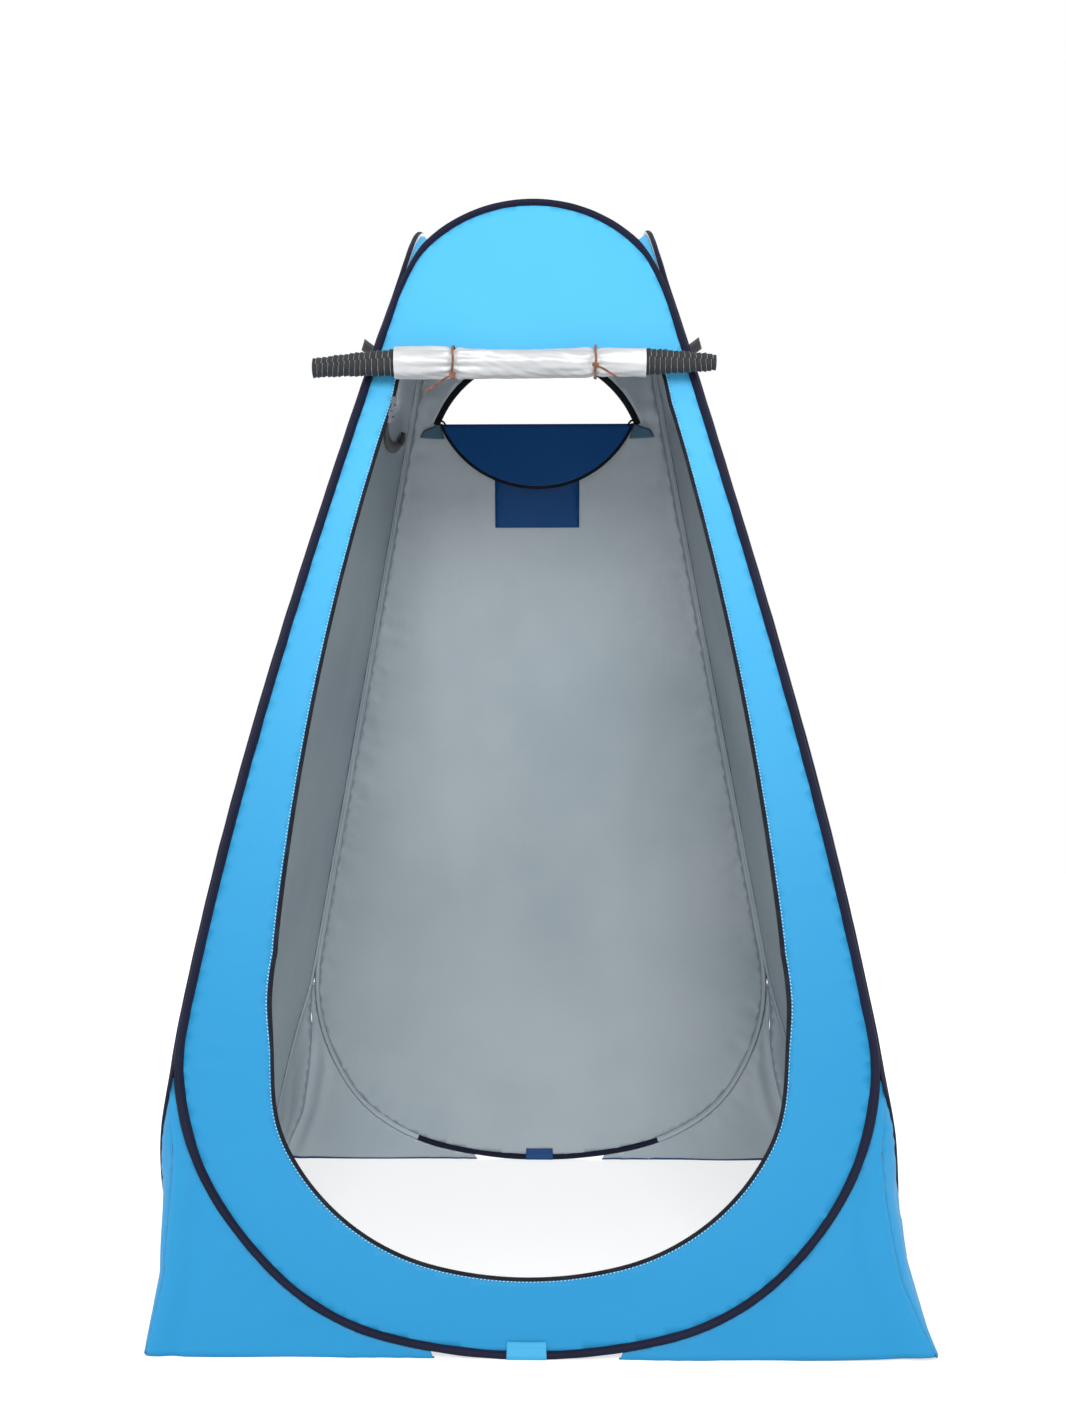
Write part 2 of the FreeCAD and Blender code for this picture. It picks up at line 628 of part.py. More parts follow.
def door_slider(name, down):
    body = new_body(f"door_slider_{name}", on_door_side(down))
    section = new_sketch(body, "XY_Plane", f"{name}_slider_section")
    left = "-Sizes.tape_width"
    right = "(Sizes.slider_width - Sizes.tape_width)"
    face = "Sizes.slider_depth / 2"
    slot = "Sizes.slider_slot / 2"
    chain(
        section,
        [
            (left, f"-{face}"),
            (right, f"-{face}"),
            (right, face),
            (left, face),
            (left, slot),
            ("Sizes.slider_clearance", slot),
            ("Sizes.slider_clearance", f"-{slot}"),
            (left, f"-{slot}"),
        ],
    )
    padded(body, section, "Sizes.slider_height", both_ways=True)
    keep(body)
    pull = new_body(f"door_pull_{name}", on_door_side(down))
    blade = new_sketch(
        pull, "XZ_Plane", f"{name}_pull_outline", lift=f"{face} + Sizes.pull_gap"
    )
    middle = f"({right} + {left}) / 2"
    chain(
        blade,
        [
            (f"{middle} - Sizes.pull_width / 2", "-Sizes.pull_length"),
            (f"{middle} + Sizes.pull_width / 2", "-Sizes.pull_length"),
            (f"{middle} + Sizes.pull_width / 3", "0"),
            (f"{middle} - Sizes.pull_width / 3", "0"),
        ],
    )
    padded(pull, blade, "Sizes.pull_thickness")
    return keep(pull)


door_slider("upper", "Sizes.slider_top_gap")
door_slider("lower", "Sizes.slider_top_gap + Sizes.pull_length + Sizes.pull_parting")

# The back window: a thick zip tape round its arched top, and a flap that hangs inside from the sill.
window_tape = new_body("window_zip_tape", wall_place("back"))
window_band = new_sketch(window_tape, "XZ_Plane", "window_band")
band_loop(
    window_band,
    WINDOW_SILL,
    WINDOW_CENTRE,
    f"{WINDOW_RADIUS} + Sizes.window_tape",
    WINDOW_RADIUS,
)
padded(window_tape, window_band, "Sizes.tape_thickness", both_ways=True)
keep(window_tape)

# The flap hangs plumb, just clear of the pocket's top edge below it.
SILL_Z = f"({WINDOW_SILL} * cos({WALL_LEAN}))"
POCKET_FRONT = (
    f"(Sizes.base_half - sin({WALL_LEAN}) * {POCKET_TOP} "
    f"- cos({WALL_LEAN}) * ({INNER_FACE} + Sizes.pocket_depth))"
)
FLAP_Y = f"({POCKET_FRONT} - Sizes.flap_clearance - Sizes.cloth / 2)"
FLAP_PLACE = (
    f"create(<<placement>>; create(<<vector>>; 0; {FLAP_Y}; {SILL_Z}); create(<<rotation>>; 180; 0; 0))"
)
FLAP_CENTRE = f"(-Sizes.flap_top_gap - Sizes.window_rise + {WINDOW_RADIUS})"
flap = new_body("window_flap", FLAP_PLACE)
flap_outline = new_sketch(flap, "XZ_Plane", "flap_outline")
cloth_edge = f"({WINDOW_RADIUS} - Sizes.flap_tape - Sizes.sewing_gap)"
bow_loop(flap_outline, "-Sizes.flap_top_gap", FLAP_CENTRE, cloth_edge, upward=-1)
padded(flap, flap_outline, "Sizes.cloth", both_ways=True)
keep(flap)

flap_tape = new_body("window_flap_tape", FLAP_PLACE)
flap_band = new_sketch(flap_tape, "XZ_Plane", "flap_band")
band_loop(
    flap_band,
    "-Sizes.flap_top_gap",
    FLAP_CENTRE,
    WINDOW_RADIUS,
    f"{WINDOW_RADIUS} - Sizes.flap_tape",
    upward=-1,
)
padded(flap_tape, flap_band, "Sizes.tape_thickness", both_ways=True)
keep(flap_tape)

# The patch pocket on the inside of the back wall, sewn down its sides and along its bottom, open on top.
pocket_base = f"({POCKET_TOP} - Sizes.pocket_height)"
pocket_half = "Sizes.pocket_width / 2"
patch = new_body("inner_pocket", wall_place("back"))
patch_outline = new_sketch(patch, "XZ_Plane", "pocket_outline", lift=f"-{INNER_FACE}")
block(patch_outline, f"-{pocket_half}", pocket_half, pocket_base, POCKET_TOP)
padded(patch, patch_outline, "Sizes.pocket_depth", backwards=True)
patch_room = new_sketch(patch, "XZ_Plane", "pocket_room", lift=f"-{INNER_FACE}")
block(
    patch_room,
    f"-{pocket_half} + Sizes.cloth",
    f"{pocket_half} - Sizes.cloth",
    f"{pocket_base} + Sizes.cloth",
    f"{POCKET_TOP} + Sizes.cloth",
)
carved(patch, patch_room, "Sizes.pocket_depth - Sizes.cloth")
keep(patch)

# A webbing strap hangs in a slack U on the inside of the left wall, with a buckle near the rear corner.
half_web = worth("Sizes.strap_width / 2")
depth = worth(f"{INNER_FACE} + Sizes.strap_standoff")
spine = []
for point in ("front", "bend", "low", "rear"):
    across = worth(f"Sizes.strap_{point}_across")
    up = worth(f"{HOOP_HIGH} - Sizes.strap_{point}_drop")
    spine.append(FreeCAD.Vector(across, depth, up))
strap_path = Part.makePolygon(spine)
strap_outline = strap_path.makeOffset2D(half_web, join=0, fill=False, openResult=False, intersection=False)
strap = doc.addObject("Part::Feature", "hanging_strap")
strap.Shape = Part.Face(strap_outline).extrude(FreeCAD.Vector(0, worth("Sizes.strap_thickness"), 0))
strap.setExpression("Placement", wall_place("left"))
keep(strap, "hanging_strap")

buckle = doc.addObject("Part::Box", "strap_buckle")
buckle.setExpression("Length", "Sizes.buckle_width")
buckle.setExpression("Width", "Sizes.buckle_thickness")
buckle.setExpression("Height", "Sizes.buckle_height")
buckle_out = f"-({INNER_FACE} + Sizes.strap_standoff + Sizes.strap_thickness + Sizes.sewing_gap)"
buckle.setExpression(
    "Placement",
    wall_place("left", "Sizes.buckle_across", buckle_out, f"{HOOP_HIGH} - Sizes.buckle_drop"),
)
keep(buckle, "strap_buckle")


# Guy loops of folded webbing stand out from the side walls' sleeves at the top of each corner seam.
def guy_loop(side, direction):
    neighbour = NEIGHBOURS[side][0 if direction < 0 else 1]
    label = f"guy_loop_{neighbour}_{side}"
    seam = f"(Sizes.base_half - sin({WALL_LEAN}) * {LOOP_LEVEL})"
    across = f"{direction} * ({seam} - Sizes.loop_from_edge)"
    body = new_body(label, wall_place(side, across, SLEEVE_OUTSIDE, LOOP_LEVEL))
    outline = new_sketch(body, "XY_Plane", label + "_outline")
    for shrink in ("0", "Sizes.loop_thickness"):
        half = f"(Sizes.loop_half - {shrink})"
        chain(
            outline,
            [
                (f"-{half}", f"-{shrink}"),
                (f"-{half}", f"-Sizes.loop_reach + {shrink}"),
                (half, f"-Sizes.loop_reach + {shrink}"),
                (half, f"-{shrink}"),
            ],
        )
    padded(body, outline, "Sizes.loop_webbing", both_ways=True)
    return keep(body)


for side in ("left", "right"):
    guy_loop(side, -1)
    guy_loop(side, 1)


# The roof cloth: four gores between neighbouring hoops' arcs, drawn down to a dip in the middle.
def hoop_half_at(up):
    """The hoop's half width at a distance up its wall's plane."""
    lean = math.radians(worth(EDGE_LEAN))
    crown = worth(HOOP_TOP_RADIUS)
    middle = worth(HOOP_HIGH) - crown
    if up > middle + crown * math.sin(lean):
        return math.sqrt(crown**2 - (up - middle) ** 2)
    return (worth(HOOP_EDGE) - math.sin(lean) * up) / math.cos(lean)


def octagon(reach, cut, z):
    """A level octagon: square sides at reach, corners cut where across plus along is cut."""
    near = cut - reach
    quarter = [(near, -reach), (reach, -near)]
    points = []
    for turn in range(4):
        for x, y in quarter:
            points.append(FreeCAD.Vector(x, y, z))
        quarter = [(-y, x) for x, y in quarter]
    return Part.makePolygon(points + points[:1])


ROOF_STEPS = 7


def roof_solid(grow, thin, drop):
    """The space under the roof. A copy that is grown, thinned at the corners and dropped hollows it."""
    clear = worth("Sizes.sleeve_diameter / 2 + Sizes.roof_gap")
    corner_clear = worth("Sizes.sleeve_diameter / sqrt(2) + Sizes.roof_corner_gap")
    start = worth("Sizes.hoop_top - Sizes.roof_start_drop")
    rim = worth("Sizes.hoop_top - Sizes.roof_rim_drop")
    lean = math.radians(worth(WALL_LEAN))
    sections = []
    for step in range(ROOF_STEPS + 1):
        z = start + (rim - start) * step / ROOF_STEPS
        up = z / math.cos(lean)
        plane = worth("Sizes.base_half") - math.sin(lean) * up
        cut = plane + hoop_half_at(up) - corner_clear - thin
        sections.append(octagon(plane - clear + grow, cut, z - drop))
    middle = worth("Sizes.roof_centre_half")
    dip = worth("Sizes.hoop_top - Sizes.roof_centre_drop")
    sections.append(octagon(middle, worth("Sizes.roof_centre_cut"), dip - drop))
    return Part.makeLoft(sections, True, True)


roof_skin = worth("Sizes.roof_cloth")
side_overlap = roof_skin * 3
roof = doc.addObject("Part::Feature", "roof_cloth")
roof.Shape = roof_solid(0, 0, 0).cut(roof_solid(side_overlap, roof_skin, roof_skin))
keep(roof, "roof_cloth")

# Checks before anything is written.
doc.recompute()
for thing in doc.Objects:
    if "Invalid" in thing.State or "Error" in thing.State:
        raise RuntimeError(f"{thing.Label} is in state {thing.State}")
for thing in nodes:
    if thing.Shape.isNull() or not thing.Shape.isValid():
        raise RuntimeError(f"{thing.Label} has no valid shape")
    if len(thing.Shape.Solids) != 1:
        raise RuntimeError(f"{thing.Label} has {len(thing.Shape.Solids)} solids")

os.makedirs("parts", exist_ok=True)
for thing in nodes:
    thing.Shape.exportStep(f"parts/{thing.Label}.step")
    box = thing.Shape.BoundBox
    print(f"{thing.Label}: {thing.Shape.Volume:.0f} mm3, z {box.ZMin:.1f} to {box.ZMax:.1f}")
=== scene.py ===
import bpy
import math
import numpy as np
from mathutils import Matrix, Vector, noise
from mathutils.geometry import delaunay_2d_cdt


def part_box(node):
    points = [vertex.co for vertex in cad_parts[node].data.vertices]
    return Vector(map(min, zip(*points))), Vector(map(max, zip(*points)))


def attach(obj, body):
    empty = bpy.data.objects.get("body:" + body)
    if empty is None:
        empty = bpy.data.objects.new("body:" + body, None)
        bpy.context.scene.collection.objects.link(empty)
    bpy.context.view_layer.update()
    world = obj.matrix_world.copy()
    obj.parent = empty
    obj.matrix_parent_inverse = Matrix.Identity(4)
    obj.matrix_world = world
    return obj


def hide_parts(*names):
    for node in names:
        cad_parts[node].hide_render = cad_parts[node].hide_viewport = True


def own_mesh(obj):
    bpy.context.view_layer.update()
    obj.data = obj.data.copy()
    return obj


# A pop-up privacy tent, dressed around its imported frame. Metres, +Z up, the doorway faces -Y.
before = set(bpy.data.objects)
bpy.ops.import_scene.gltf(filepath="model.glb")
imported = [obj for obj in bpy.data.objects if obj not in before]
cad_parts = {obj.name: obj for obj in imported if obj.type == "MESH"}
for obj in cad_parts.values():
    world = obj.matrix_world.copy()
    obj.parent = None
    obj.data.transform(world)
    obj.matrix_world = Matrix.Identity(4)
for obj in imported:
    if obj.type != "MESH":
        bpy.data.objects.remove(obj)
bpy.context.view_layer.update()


# ---- Spring hoops -------------------------------------------------------------------------------
# Four rings of drawn spring wire hold the tent open, one round the edge of each wall. Each ring is one
# wire, bent like an egg, with its two ends butted in a crimped ferrule at the foot.
BASE_HALF = 0.625
TOP_HALF = 0.2142
TENT_TOP = 1.9
SLEEVE_RADIUS = 0.0055
HOOP_ROOM = 0.006
SEAM_GAP = 0.0103
LEAN = math.atan((BASE_HALF - TOP_HALF) / TENT_TOP)
EDGE_LEAN = math.atan(math.sin(LEAN))
YAW = {"front": 0, "right": 90, "back": 180, "left": 270}
BULGE = 0.0415
BULGE_LOW = 0.12
BULGE_HIGH = 1.65
WAIST = 0.024
LOPSIDED = 0.11
NIP = 0.008
DOOR_BOW = 0.0245
DOOR_BOW_LOW = 0.605
DOOR_BOW_HIGH = 1.52
DOOR_PINCH = 0.014
PINCH_LEVEL = 0.45
PINCH_HALF = 0.15
TUCK = {"left": 0.033, "right": -0.006}
TUCK_TOP = 0.3
FOOT_TUCK = 0.016
NEST = 0.006
SKIRT_TOP = 0.425
WIRE_RADIUS = 0.0018
FERRULE_RADIUS = 0.0032
FERRULE_HALF = 0.02
WIRE_GAP = 0.001


def front_bulge(height):
    """How far the front hoop bows out sideways: most at the hips, with a slight nip at the top."""
    share = np.clip((height - BULGE_LOW) / (BULGE_HIGH - BULGE_LOW), 0, 1)
    high = np.clip((height - BULGE_HIGH) / (TENT_TOP - BULGE_HIGH), 0, 1)
    return BULGE * np.sin(np.pi * share**0.8) - NIP * np.sin(np.pi * high)


def back_bulge(height):
    """The back hoop is drawn in a little instead, most at its foot."""
    ramp = np.clip(height / 0.12, 0, 1)
    return -WAIST * ramp * np.sqrt(np.clip(1 - height / TENT_TOP, 0, 1))


def door_bow(height):
    """How far the doorway's side edges bow out between the zip's two resting places."""
    share = np.clip((height - DOOR_BOW_LOW) / (DOOR_BOW_HIGH - DOOR_BOW_LOW), 0, 1)
    pinch = np.clip(np.abs(height - PINCH_LEVEL) / PINCH_HALF, 0, 1)
    return DOOR_BOW * np.sin(np.pi * share) ** 0.8 - DOOR_PINCH * np.cos(np.pi / 2 * pinch) ** 2


def smooth(share):
    share = np.clip(share, 0, 1)
    return share * share * (3 - 2 * share)


def on_wall(side, across, out, up):
    """Points given across a wall, out from it and up its slope, in the tent's own frame."""
    across, out, up = np.broadcast_arrays(
        np.asarray(across, float), np.asarray(out, float), np.asarray(up, float)
    )
    height = up * math.cos(LEAN)
    hand = np.sign(across)
    reach = across / (BASE_HALF - math.sin(LEAN) * up)
    share = np.clip(np.abs(reach), 0, 1)
    if side == "front":
        right = hand
    elif side == "back":
        right = -hand
    else:
        right = 1.0 if side == "right" else -1.0
    tuck = np.where(right > 0, TUCK["right"], TUCK["left"]) * np.clip(1 - height / TUCK_TOP, 0, 1) ** 2
    if side in ("front", "back"):
        low = 0.62 + 0.18 * smooth((height - 0.2) / 0.2)
        edge = smooth((share - low) / (0.98 - low))
        if side == "front":
            inner = door_bow(height) * np.clip(share / 0.8, 0, 1) ** 2
            push = inner + (front_bulge(height) - inner) * edge
        else:
            push = back_bulge(height) * edge
        x = across + hand * (push * (1 - LOPSIDED * right) - tuck * share**4)
        y = FOOT_TUCK * np.clip(1 - height / TUCK_TOP, 0, 1) ** 2 - out
    else:
        depth = (1 + np.clip(reach if side == "right" else -reach, -1, 1)) / 2
        push = front_bulge(height) * (1 - depth) + back_bulge(height) * depth
        nest = NEST * smooth((height - 0.3) / (SKIRT_TOP - 0.3))
        x = across - hand * FOOT_TUCK * np.clip(1 - height / TUCK_TOP, 0, 1) ** 2 * share**4
        y = tuck + nest - out - push * (1 - LOPSIDED * right)
    back = y * math.cos(LEAN) + up * math.sin(LEAN) - BASE_HALF
    level = -y * math.sin(LEAN) + up * math.cos(LEAN)
    turn = math.radians(YAW[side])
    return np.stack(
        [
            x * math.cos(turn) - back * math.sin(turn),
            x * math.sin(turn) + back * math.cos(turn),
            level,
        ],
        -1,
    )


def arc_points(centre, radius, start, end, step=0.008):
    count = max(3, int(abs(end - start) * radius / step) + 2)
    angles = np.linspace(start, end, count)
    return np.stack([centre[0] + radius * np.cos(angles), centre[1] + radius * np.sin(angles)], -1)


def egg(low, wide, small, slope, reach, crown, flat_top=None, inset=0.0):
    """The right half of an egg outline from its foot to its top: a wide arc, a corner arc, a straight
    side and a crown. With flat_top the crown is a small corner arc and a level edge."""
    bottom = low + wide
    swing = slope + math.asin((reach - small - math.sin(slope) * bottom) / (wide - small))
    corner = ((wide - small) * math.sin(swing), bottom - (wide - small) * math.cos(swing))
    if flat_top is None:
        top_centre = (0.0, (reach - crown) / math.sin(slope))
    else:
        level = flat_top - crown
        top_centre = ((reach - crown - math.sin(slope) * level) / math.cos(slope), level)
    quarter = math.pi / 2
    parts = [
        arc_points((0.0, bottom), wide - inset, -quarter, swing - quarter),
        arc_points(corner, small - inset, swing - quarter, slope),
        arc_points(top_centre, crown - inset, slope, quarter),
    ]
    if flat_top is not None:
        parts.append(np.array([[0.0, flat_top - inset]]))
    return np.concatenate(parts)


def run_along(line):
    """How far along a line each of its points lies."""
    return np.concatenate([[0], np.cumsum(np.linalg.norm(np.diff(line, axis=0), axis=1))])


def closed_line(loop):
    return np.concatenate([loop, loop[:1]])


def evenly(points, count, closed=False):
    """The same line with count points at even spacing."""
    if closed:
        points = closed_line(points)
    lengths = run_along(points)
    places = np.linspace(0, lengths[-1], count, endpoint=not closed)
    return np.stack([np.interp(places, lengths, axis) for axis in points.T], -1)


def both_halves(half, count):
    """A closed loop from its right half, starting at the foot."""
    mirrored = half[::-1] * [-1, 1]
    return evenly(np.concatenate([half, mirrored[1:-1]]), count, closed=True)


HOOP_LOW = 0.0074 / math.cos(LEAN)
HOOP_EDGE = BASE_HALF * math.cos(EDGE_LEAN) - SEAM_GAP
HOOP_HIGH = (TENT_TOP - HOOP_ROOM) / math.cos(LEAN)
HOOP_CROWN = (HOOP_EDGE - math.sin(EDGE_LEAN) * HOOP_HIGH) / (1 - math.sin(EDGE_LEAN))
HOOP = dict(low=HOOP_LOW, wide=0.914, small=0.394, slope=EDGE_LEAN, reach=HOOP_EDGE, crown=HOOP_CROWN)
HOOP_STEPS = 520


def hoop_loop(inset=0.0, count=HOOP_STEPS):
    return both_halves(egg(**HOOP, inset=inset), count)


def new_piece(name, points, faces, finishes, face_finish=None):
    """A mesh object from points and faces, shaded smooth, with its materials in order."""
    mesh = bpy.data.meshes.new(name)
    mesh.from_pydata(np.asarray(points).reshape(-1, 3).tolist(), [], faces)
    mesh.polygons.foreach_set("use_smooth", [True] * len(faces))
    for finish in finishes:
        mesh.materials.append(finish)
    if face_finish is not None:
        mesh.polygons.foreach_set("material_index", face_finish)
    mesh.update()
    piece = bpy.data.objects.new(name, mesh)
    bpy.context.scene.collection.objects.link(piece)
    return piece


def grid_faces(rows, columns, around=True, along=False):
    """Quads over rows of points: around joins each row's ends, along joins the last row to the first."""
    faces = []
    for row in range(rows if along else rows - 1):
        following = (row + 1) % rows
        for column in range(columns if around else columns - 1):
            beside = (column + 1) % columns
            faces.append(
                (
                    row * columns + column,
                    row * columns + beside,
                    following * columns + beside,
                    following * columns + column,
                )
            )
    return faces


def write_corners(piece, u, v):
    """UVs from a pair of values for each point of the mesh."""
    layer = piece.data.uv_layers.new(name="lengths")
    corners = np.zeros(len(piece.data.loops), np.int32)
    piece.data.loops.foreach_get("vertex_index", corners)
    corners = np.minimum(corners, len(u) - 1)
    layer.data.foreach_set("uv", np.stack([u[corners], v[corners]], -1).ravel())


def write_lengths(piece, rows, columns, along, across):
    """UVs in metres: U along a swept piece and V round its section."""
    write_corners(piece, np.repeat(along, columns), np.tile(across, rows))


def side_normals(path, closed):
    """Unit vectors to the left of a flat path's direction, which is inward on a loop run from its foot."""
    if closed:
        ahead = np.roll(path, -1, 0) - np.roll(path, 1, 0)
    else:
        ahead = np.gradient(path, axis=0)
    ahead = ahead / np.linalg.norm(ahead, axis=1)[:, None]
    return np.stack([-ahead[:, 1], ahead[:, 0]], -1)


def swept(name, side, path, profile, finishes, closed=False, lift=0.0, swell=None, choose=None):
    """A closed profile of (inward, outward) points carried along a flat path on a wall. swell scales the
    profile along the path, and choose gives a face's finish from its path point and profile number."""
    profile = np.asarray(profile, float)
    normal = side_normals(path, closed)
    scale = np.ones(len(path)) if swell is None else swell
    inward = scale[:, None] * profile[None, :, 0]
    across = path[:, None, 0] + inward * normal[:, None, 0]
    up = path[:, None, 1] + inward * normal[:, None, 1]
    points = on_wall(side, across, lift + scale[:, None] * profile[None, :, 1], up)
    rows, columns = len(path), len(profile)
    faces = grid_faces(rows, columns, along=closed)
    if not closed:
        faces.append(tuple(range(columns - 1, -1, -1)))
        faces.append(tuple(range((rows - 1) * columns, rows * columns)))
    faces = [face[::-1] for face in faces]
    picks = None
    if choose is not None:
        picks = [choose(path[min(n // columns, rows - 1)], n % columns) for n in range(len(faces))]
    piece = new_piece(name, points, faces, finishes, picks)
    write_lengths(piece, rows, columns, run_along(path), run_along(profile))
    return piece


def circle(radius, count=12):
    angles = np.linspace(0, 2 * np.pi, count, endpoint=False)
    return np.stack([radius * np.cos(angles), radius * np.sin(angles)], -1)


class Strand:
    """A value in a finish's node tree, so that shader maths reads as an expression."""

    def __init__(self, finish, socket):
        self.finish = finish
        self.socket = socket

    def join(self, operation, first, second=0.0, third=0.0):
        return self.finish.add("Math", {"operation": operation}, {0: first, 1: second, 2: third})

    def __add__(self, other):
        return self.join("ADD", self, other)

    def __radd__(self, other):
        return self.join("ADD", other, self)

    def __sub__(self, other):
        return self.join("SUBTRACT", self, other)

    def __rsub__(self, other):
        return self.join("SUBTRACT", other, self)

    def __mul__(self, other):
        return self.join("MULTIPLY", self, other)

    def __rmul__(self, other):
        return self.join("MULTIPLY", other, self)

    def sine(self):
        return self.join("SINE", self)

    def part(self):
        return self.join("FRACT", self)

    def between(self, low, high):
        """0 below low, 1 above high, and a smooth step from one to the other."""
        return self.finish.add(
            "MapRange",
            {"interpolation_type": "SMOOTHSTEP"},
            {"Value": self, "From Min": low, "From Max": high},
        )


class Finish:
    """One material, built from nodes."""

    def __init__(self, name):
        self.material = bpy.data.materials.new(name)
        self.material.use_nodes = True
        self.tree = self.material.node_tree
        self.tree.nodes.clear()

    def add(self, kind, settings=None, sockets=None, out=0):
        made = self.tree.nodes.new("ShaderNode" + kind)
        for key, value in (settings or {}).items():
            setattr(made, key, value)
        for key, value in (sockets or {}).items():
            if isinstance(value, Strand):
                self.tree.links.new(value.socket, made.inputs[key])
            else:
                made.inputs[key].default_value = value
        return Strand(self, made.outputs[out])

    def place(self, lengths=False):
        """The three parts of the object's own coordinates, or of the swept lengths."""
        source = self.add("TexCoord", out=2 if lengths else 3)
        parts = self.add("SeparateXYZ", sockets={0: source})
        found = [parts]
        for number in (1, 2):
            found.append(Strand(self, parts.socket.node.outputs[number]))
        return source, found

    def tint(self, factor, low, high):
        """A colour between two colours."""
        return self.add("Mix", {"data_type": "RGBA"}, {0: factor, 6: low, 7: high}, out=2)

    def speckle(self, source, scale, detail=3.0, stretch=(1, 1, 1)):
        """Soft noise from 0 to 1, longer along an axis with a smaller stretch."""
        placed = self.add("VectorMath", {"operation": "MULTIPLY"}, {0: source, 1: stretch})
        return self.add("TexNoise", None, {"Vector": placed, "Scale": scale, "Detail": detail})

    def bump(self, height, strength, distance):
        return self.add("Bump", None, {"Height": height, "Strength": strength, "Distance": distance})

    def done(self, **sockets):
        """Closes the tree with one principled surface and gives the material."""
        named = {key.replace("_", " "): value for key, value in sockets.items()}
        surface = self.add("BsdfPrincipled", None, named)
        end = self.tree.nodes.new("ShaderNodeOutputMaterial")
        self.tree.links.new(surface.socket, end.inputs["Surface"])
        return self.material


def wire_finish():
    steel = Finish("spring_steel")
    source, _ = steel.place()
    grime = steel.speckle(source, 60, stretch=(1, 1, 0.2))
    scratches = steel.speckle(source, 900, detail=2)
    return steel.done(
        Base_Color=steel.tint(grime, (0.36, 0.36, 0.37, 1), (0.55, 0.55, 0.56, 1)),
        Metallic=1.0,
        Roughness=0.28 + grime * 0.2,
        Normal=steel.bump(scratches, 0.2, 0.0002),
    )


def ferrule_finish():
    alloy = Finish("ferrule_metal")
    source, _ = alloy.place()
    marks = alloy.speckle(source, 300)
    return alloy.done(
        Base_Color=alloy.tint(marks, (0.62, 0.63, 0.65, 1), (0.82, 0.83, 0.84, 1)),
        Metallic=1.0,
        Roughness=0.34 + marks * 0.15,
        Normal=alloy.bump(marks, 0.3, 0.0003),
    )


spring_steel = wire_finish()
crimped = ferrule_finish()


def foot_stretch(half, inset=0.0, count=24):
    """The loop's foot, from -half to half along its bottom arc."""
    wide = HOOP["wide"] - inset
    centre = (0.0, HOOP["low"] + HOOP["wide"])
    reach = half / HOOP["wide"]
    return evenly(arc_points(centre, wide, -math.pi / 2 - reach, -math.pi / 2 + reach, 0.002), count)


def open_hoop(gap):
    """The hoop's line parted at the foot, the gap's half width each side."""
    loop = hoop_loop(count=1400)
    run = np.linalg.norm(np.diff(np.concatenate([loop, loop[:1]]), axis=0), axis=1).mean()
    skip = max(1, int(round(gap / run)))
    return loop[skip:-skip]


for side in YAW:
    wire = swept(f"{side}_spring_wire", side, open_hoop(WIRE_GAP), circle(WIRE_RADIUS, 8), [spring_steel])
    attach(wire, f"{side}_wall")
    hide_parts(f"{side}_hoop_wire")
    foot = foot_stretch(FERRULE_HALF, count=40)
    squeeze = 1 - 0.12 * np.exp(-((np.abs(np.abs(foot[:, 0]) - 0.009) / 0.0022) ** 2))
    ferrule = swept(f"{side}_ferrule", side, foot, circle(FERRULE_RADIUS, 20), [crimped], swell=squeeze)
    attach(ferrule, f"{side}_wall")
    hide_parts(f"{side}_wire_ferrule")


# ---- Walls --------------------------------------------------------------------------------------
# Coated polyester, bright blue outside and silver inside, drawn tight by the hoop sewn round its edge.
# It puckers along the seams. The front wall has the doorway cut out of it and the back one a window.
CLOTH = 0.0006
CLOTH_STEP = 0.0125
SEAM_LAP = 0.003
DOOR_HALF = 0.221
DOOR_HIGH = 1.63696
DOOR_SLOPE = math.atan((HOOP_EDGE / math.cos(EDGE_LEAN) - 0.1049 - DOOR_HALF) / DOOR_HIGH)
DOOR_EDGE = math.cos(DOOR_SLOPE) * DOOR_HALF + math.sin(DOOR_SLOPE) * DOOR_HIGH
DOOR = dict(
    low=0.123, wide=0.6, small=0.36, slope=DOOR_SLOPE, reach=DOOR_EDGE, crown=0.045, flat_top=DOOR_HIGH
)
DOOR_STEPS = 640
TAPE_WIDTH = 0.0058
SILL = 1.63626
WINDOW_HALF = 0.2
WINDOW_RISE = 0.134
WINDOW_TAPE = 0.013
WINDOW_RADIUS = (WINDOW_HALF**2 + WINDOW_RISE**2) / (2 * WINDOW_RISE)
WINDOW_CENTRE = SILL + WINDOW_RISE - WINDOW_RADIUS
YOKE_SEAM = 1.6185
WALL_BODY = {side: f"{side}_wall" for side in YAW}


def blue_finish(name, top, foot, strength=1.0):
    """Smooth dyed polyester, painted paler up the wall as painted light and darker at the foot as painted
    shade, with random darker patches, fine creases and a taffeta weave.
    """
    blue = Finish(name)
    source, (x, y, z) = blue.place()
    # Painted light and shade: the colour runs from the foot colour to the top colour with height up the
    # wall.
    height = z.between(0.35, 1.75)
    clouds = blue.speckle(source, 3.2, detail=2)
    creases = blue.speckle(source, 46, detail=5, stretch=(1, 1, 0.45))
    weave = ((x + y) * 5200).sine() * (z * 5200).sine()
    shade = blue.tint(height, foot, top)
    # Random darker patches laid over the painted light and shade gradient.
    worn_over_painted_light = blue.tint(clouds.between(0.35, 0.75) * 0.10, shade, foot)
    return blue.done(
        Base_Color=worn_over_painted_light,
        Roughness=0.50 + clouds * 0.14,
        Specular_IOR_Level=0.22,
        Normal=blue.bump(creases * 0.8 + weave * 0.05, 0.22 * strength, 0.0016),
    )


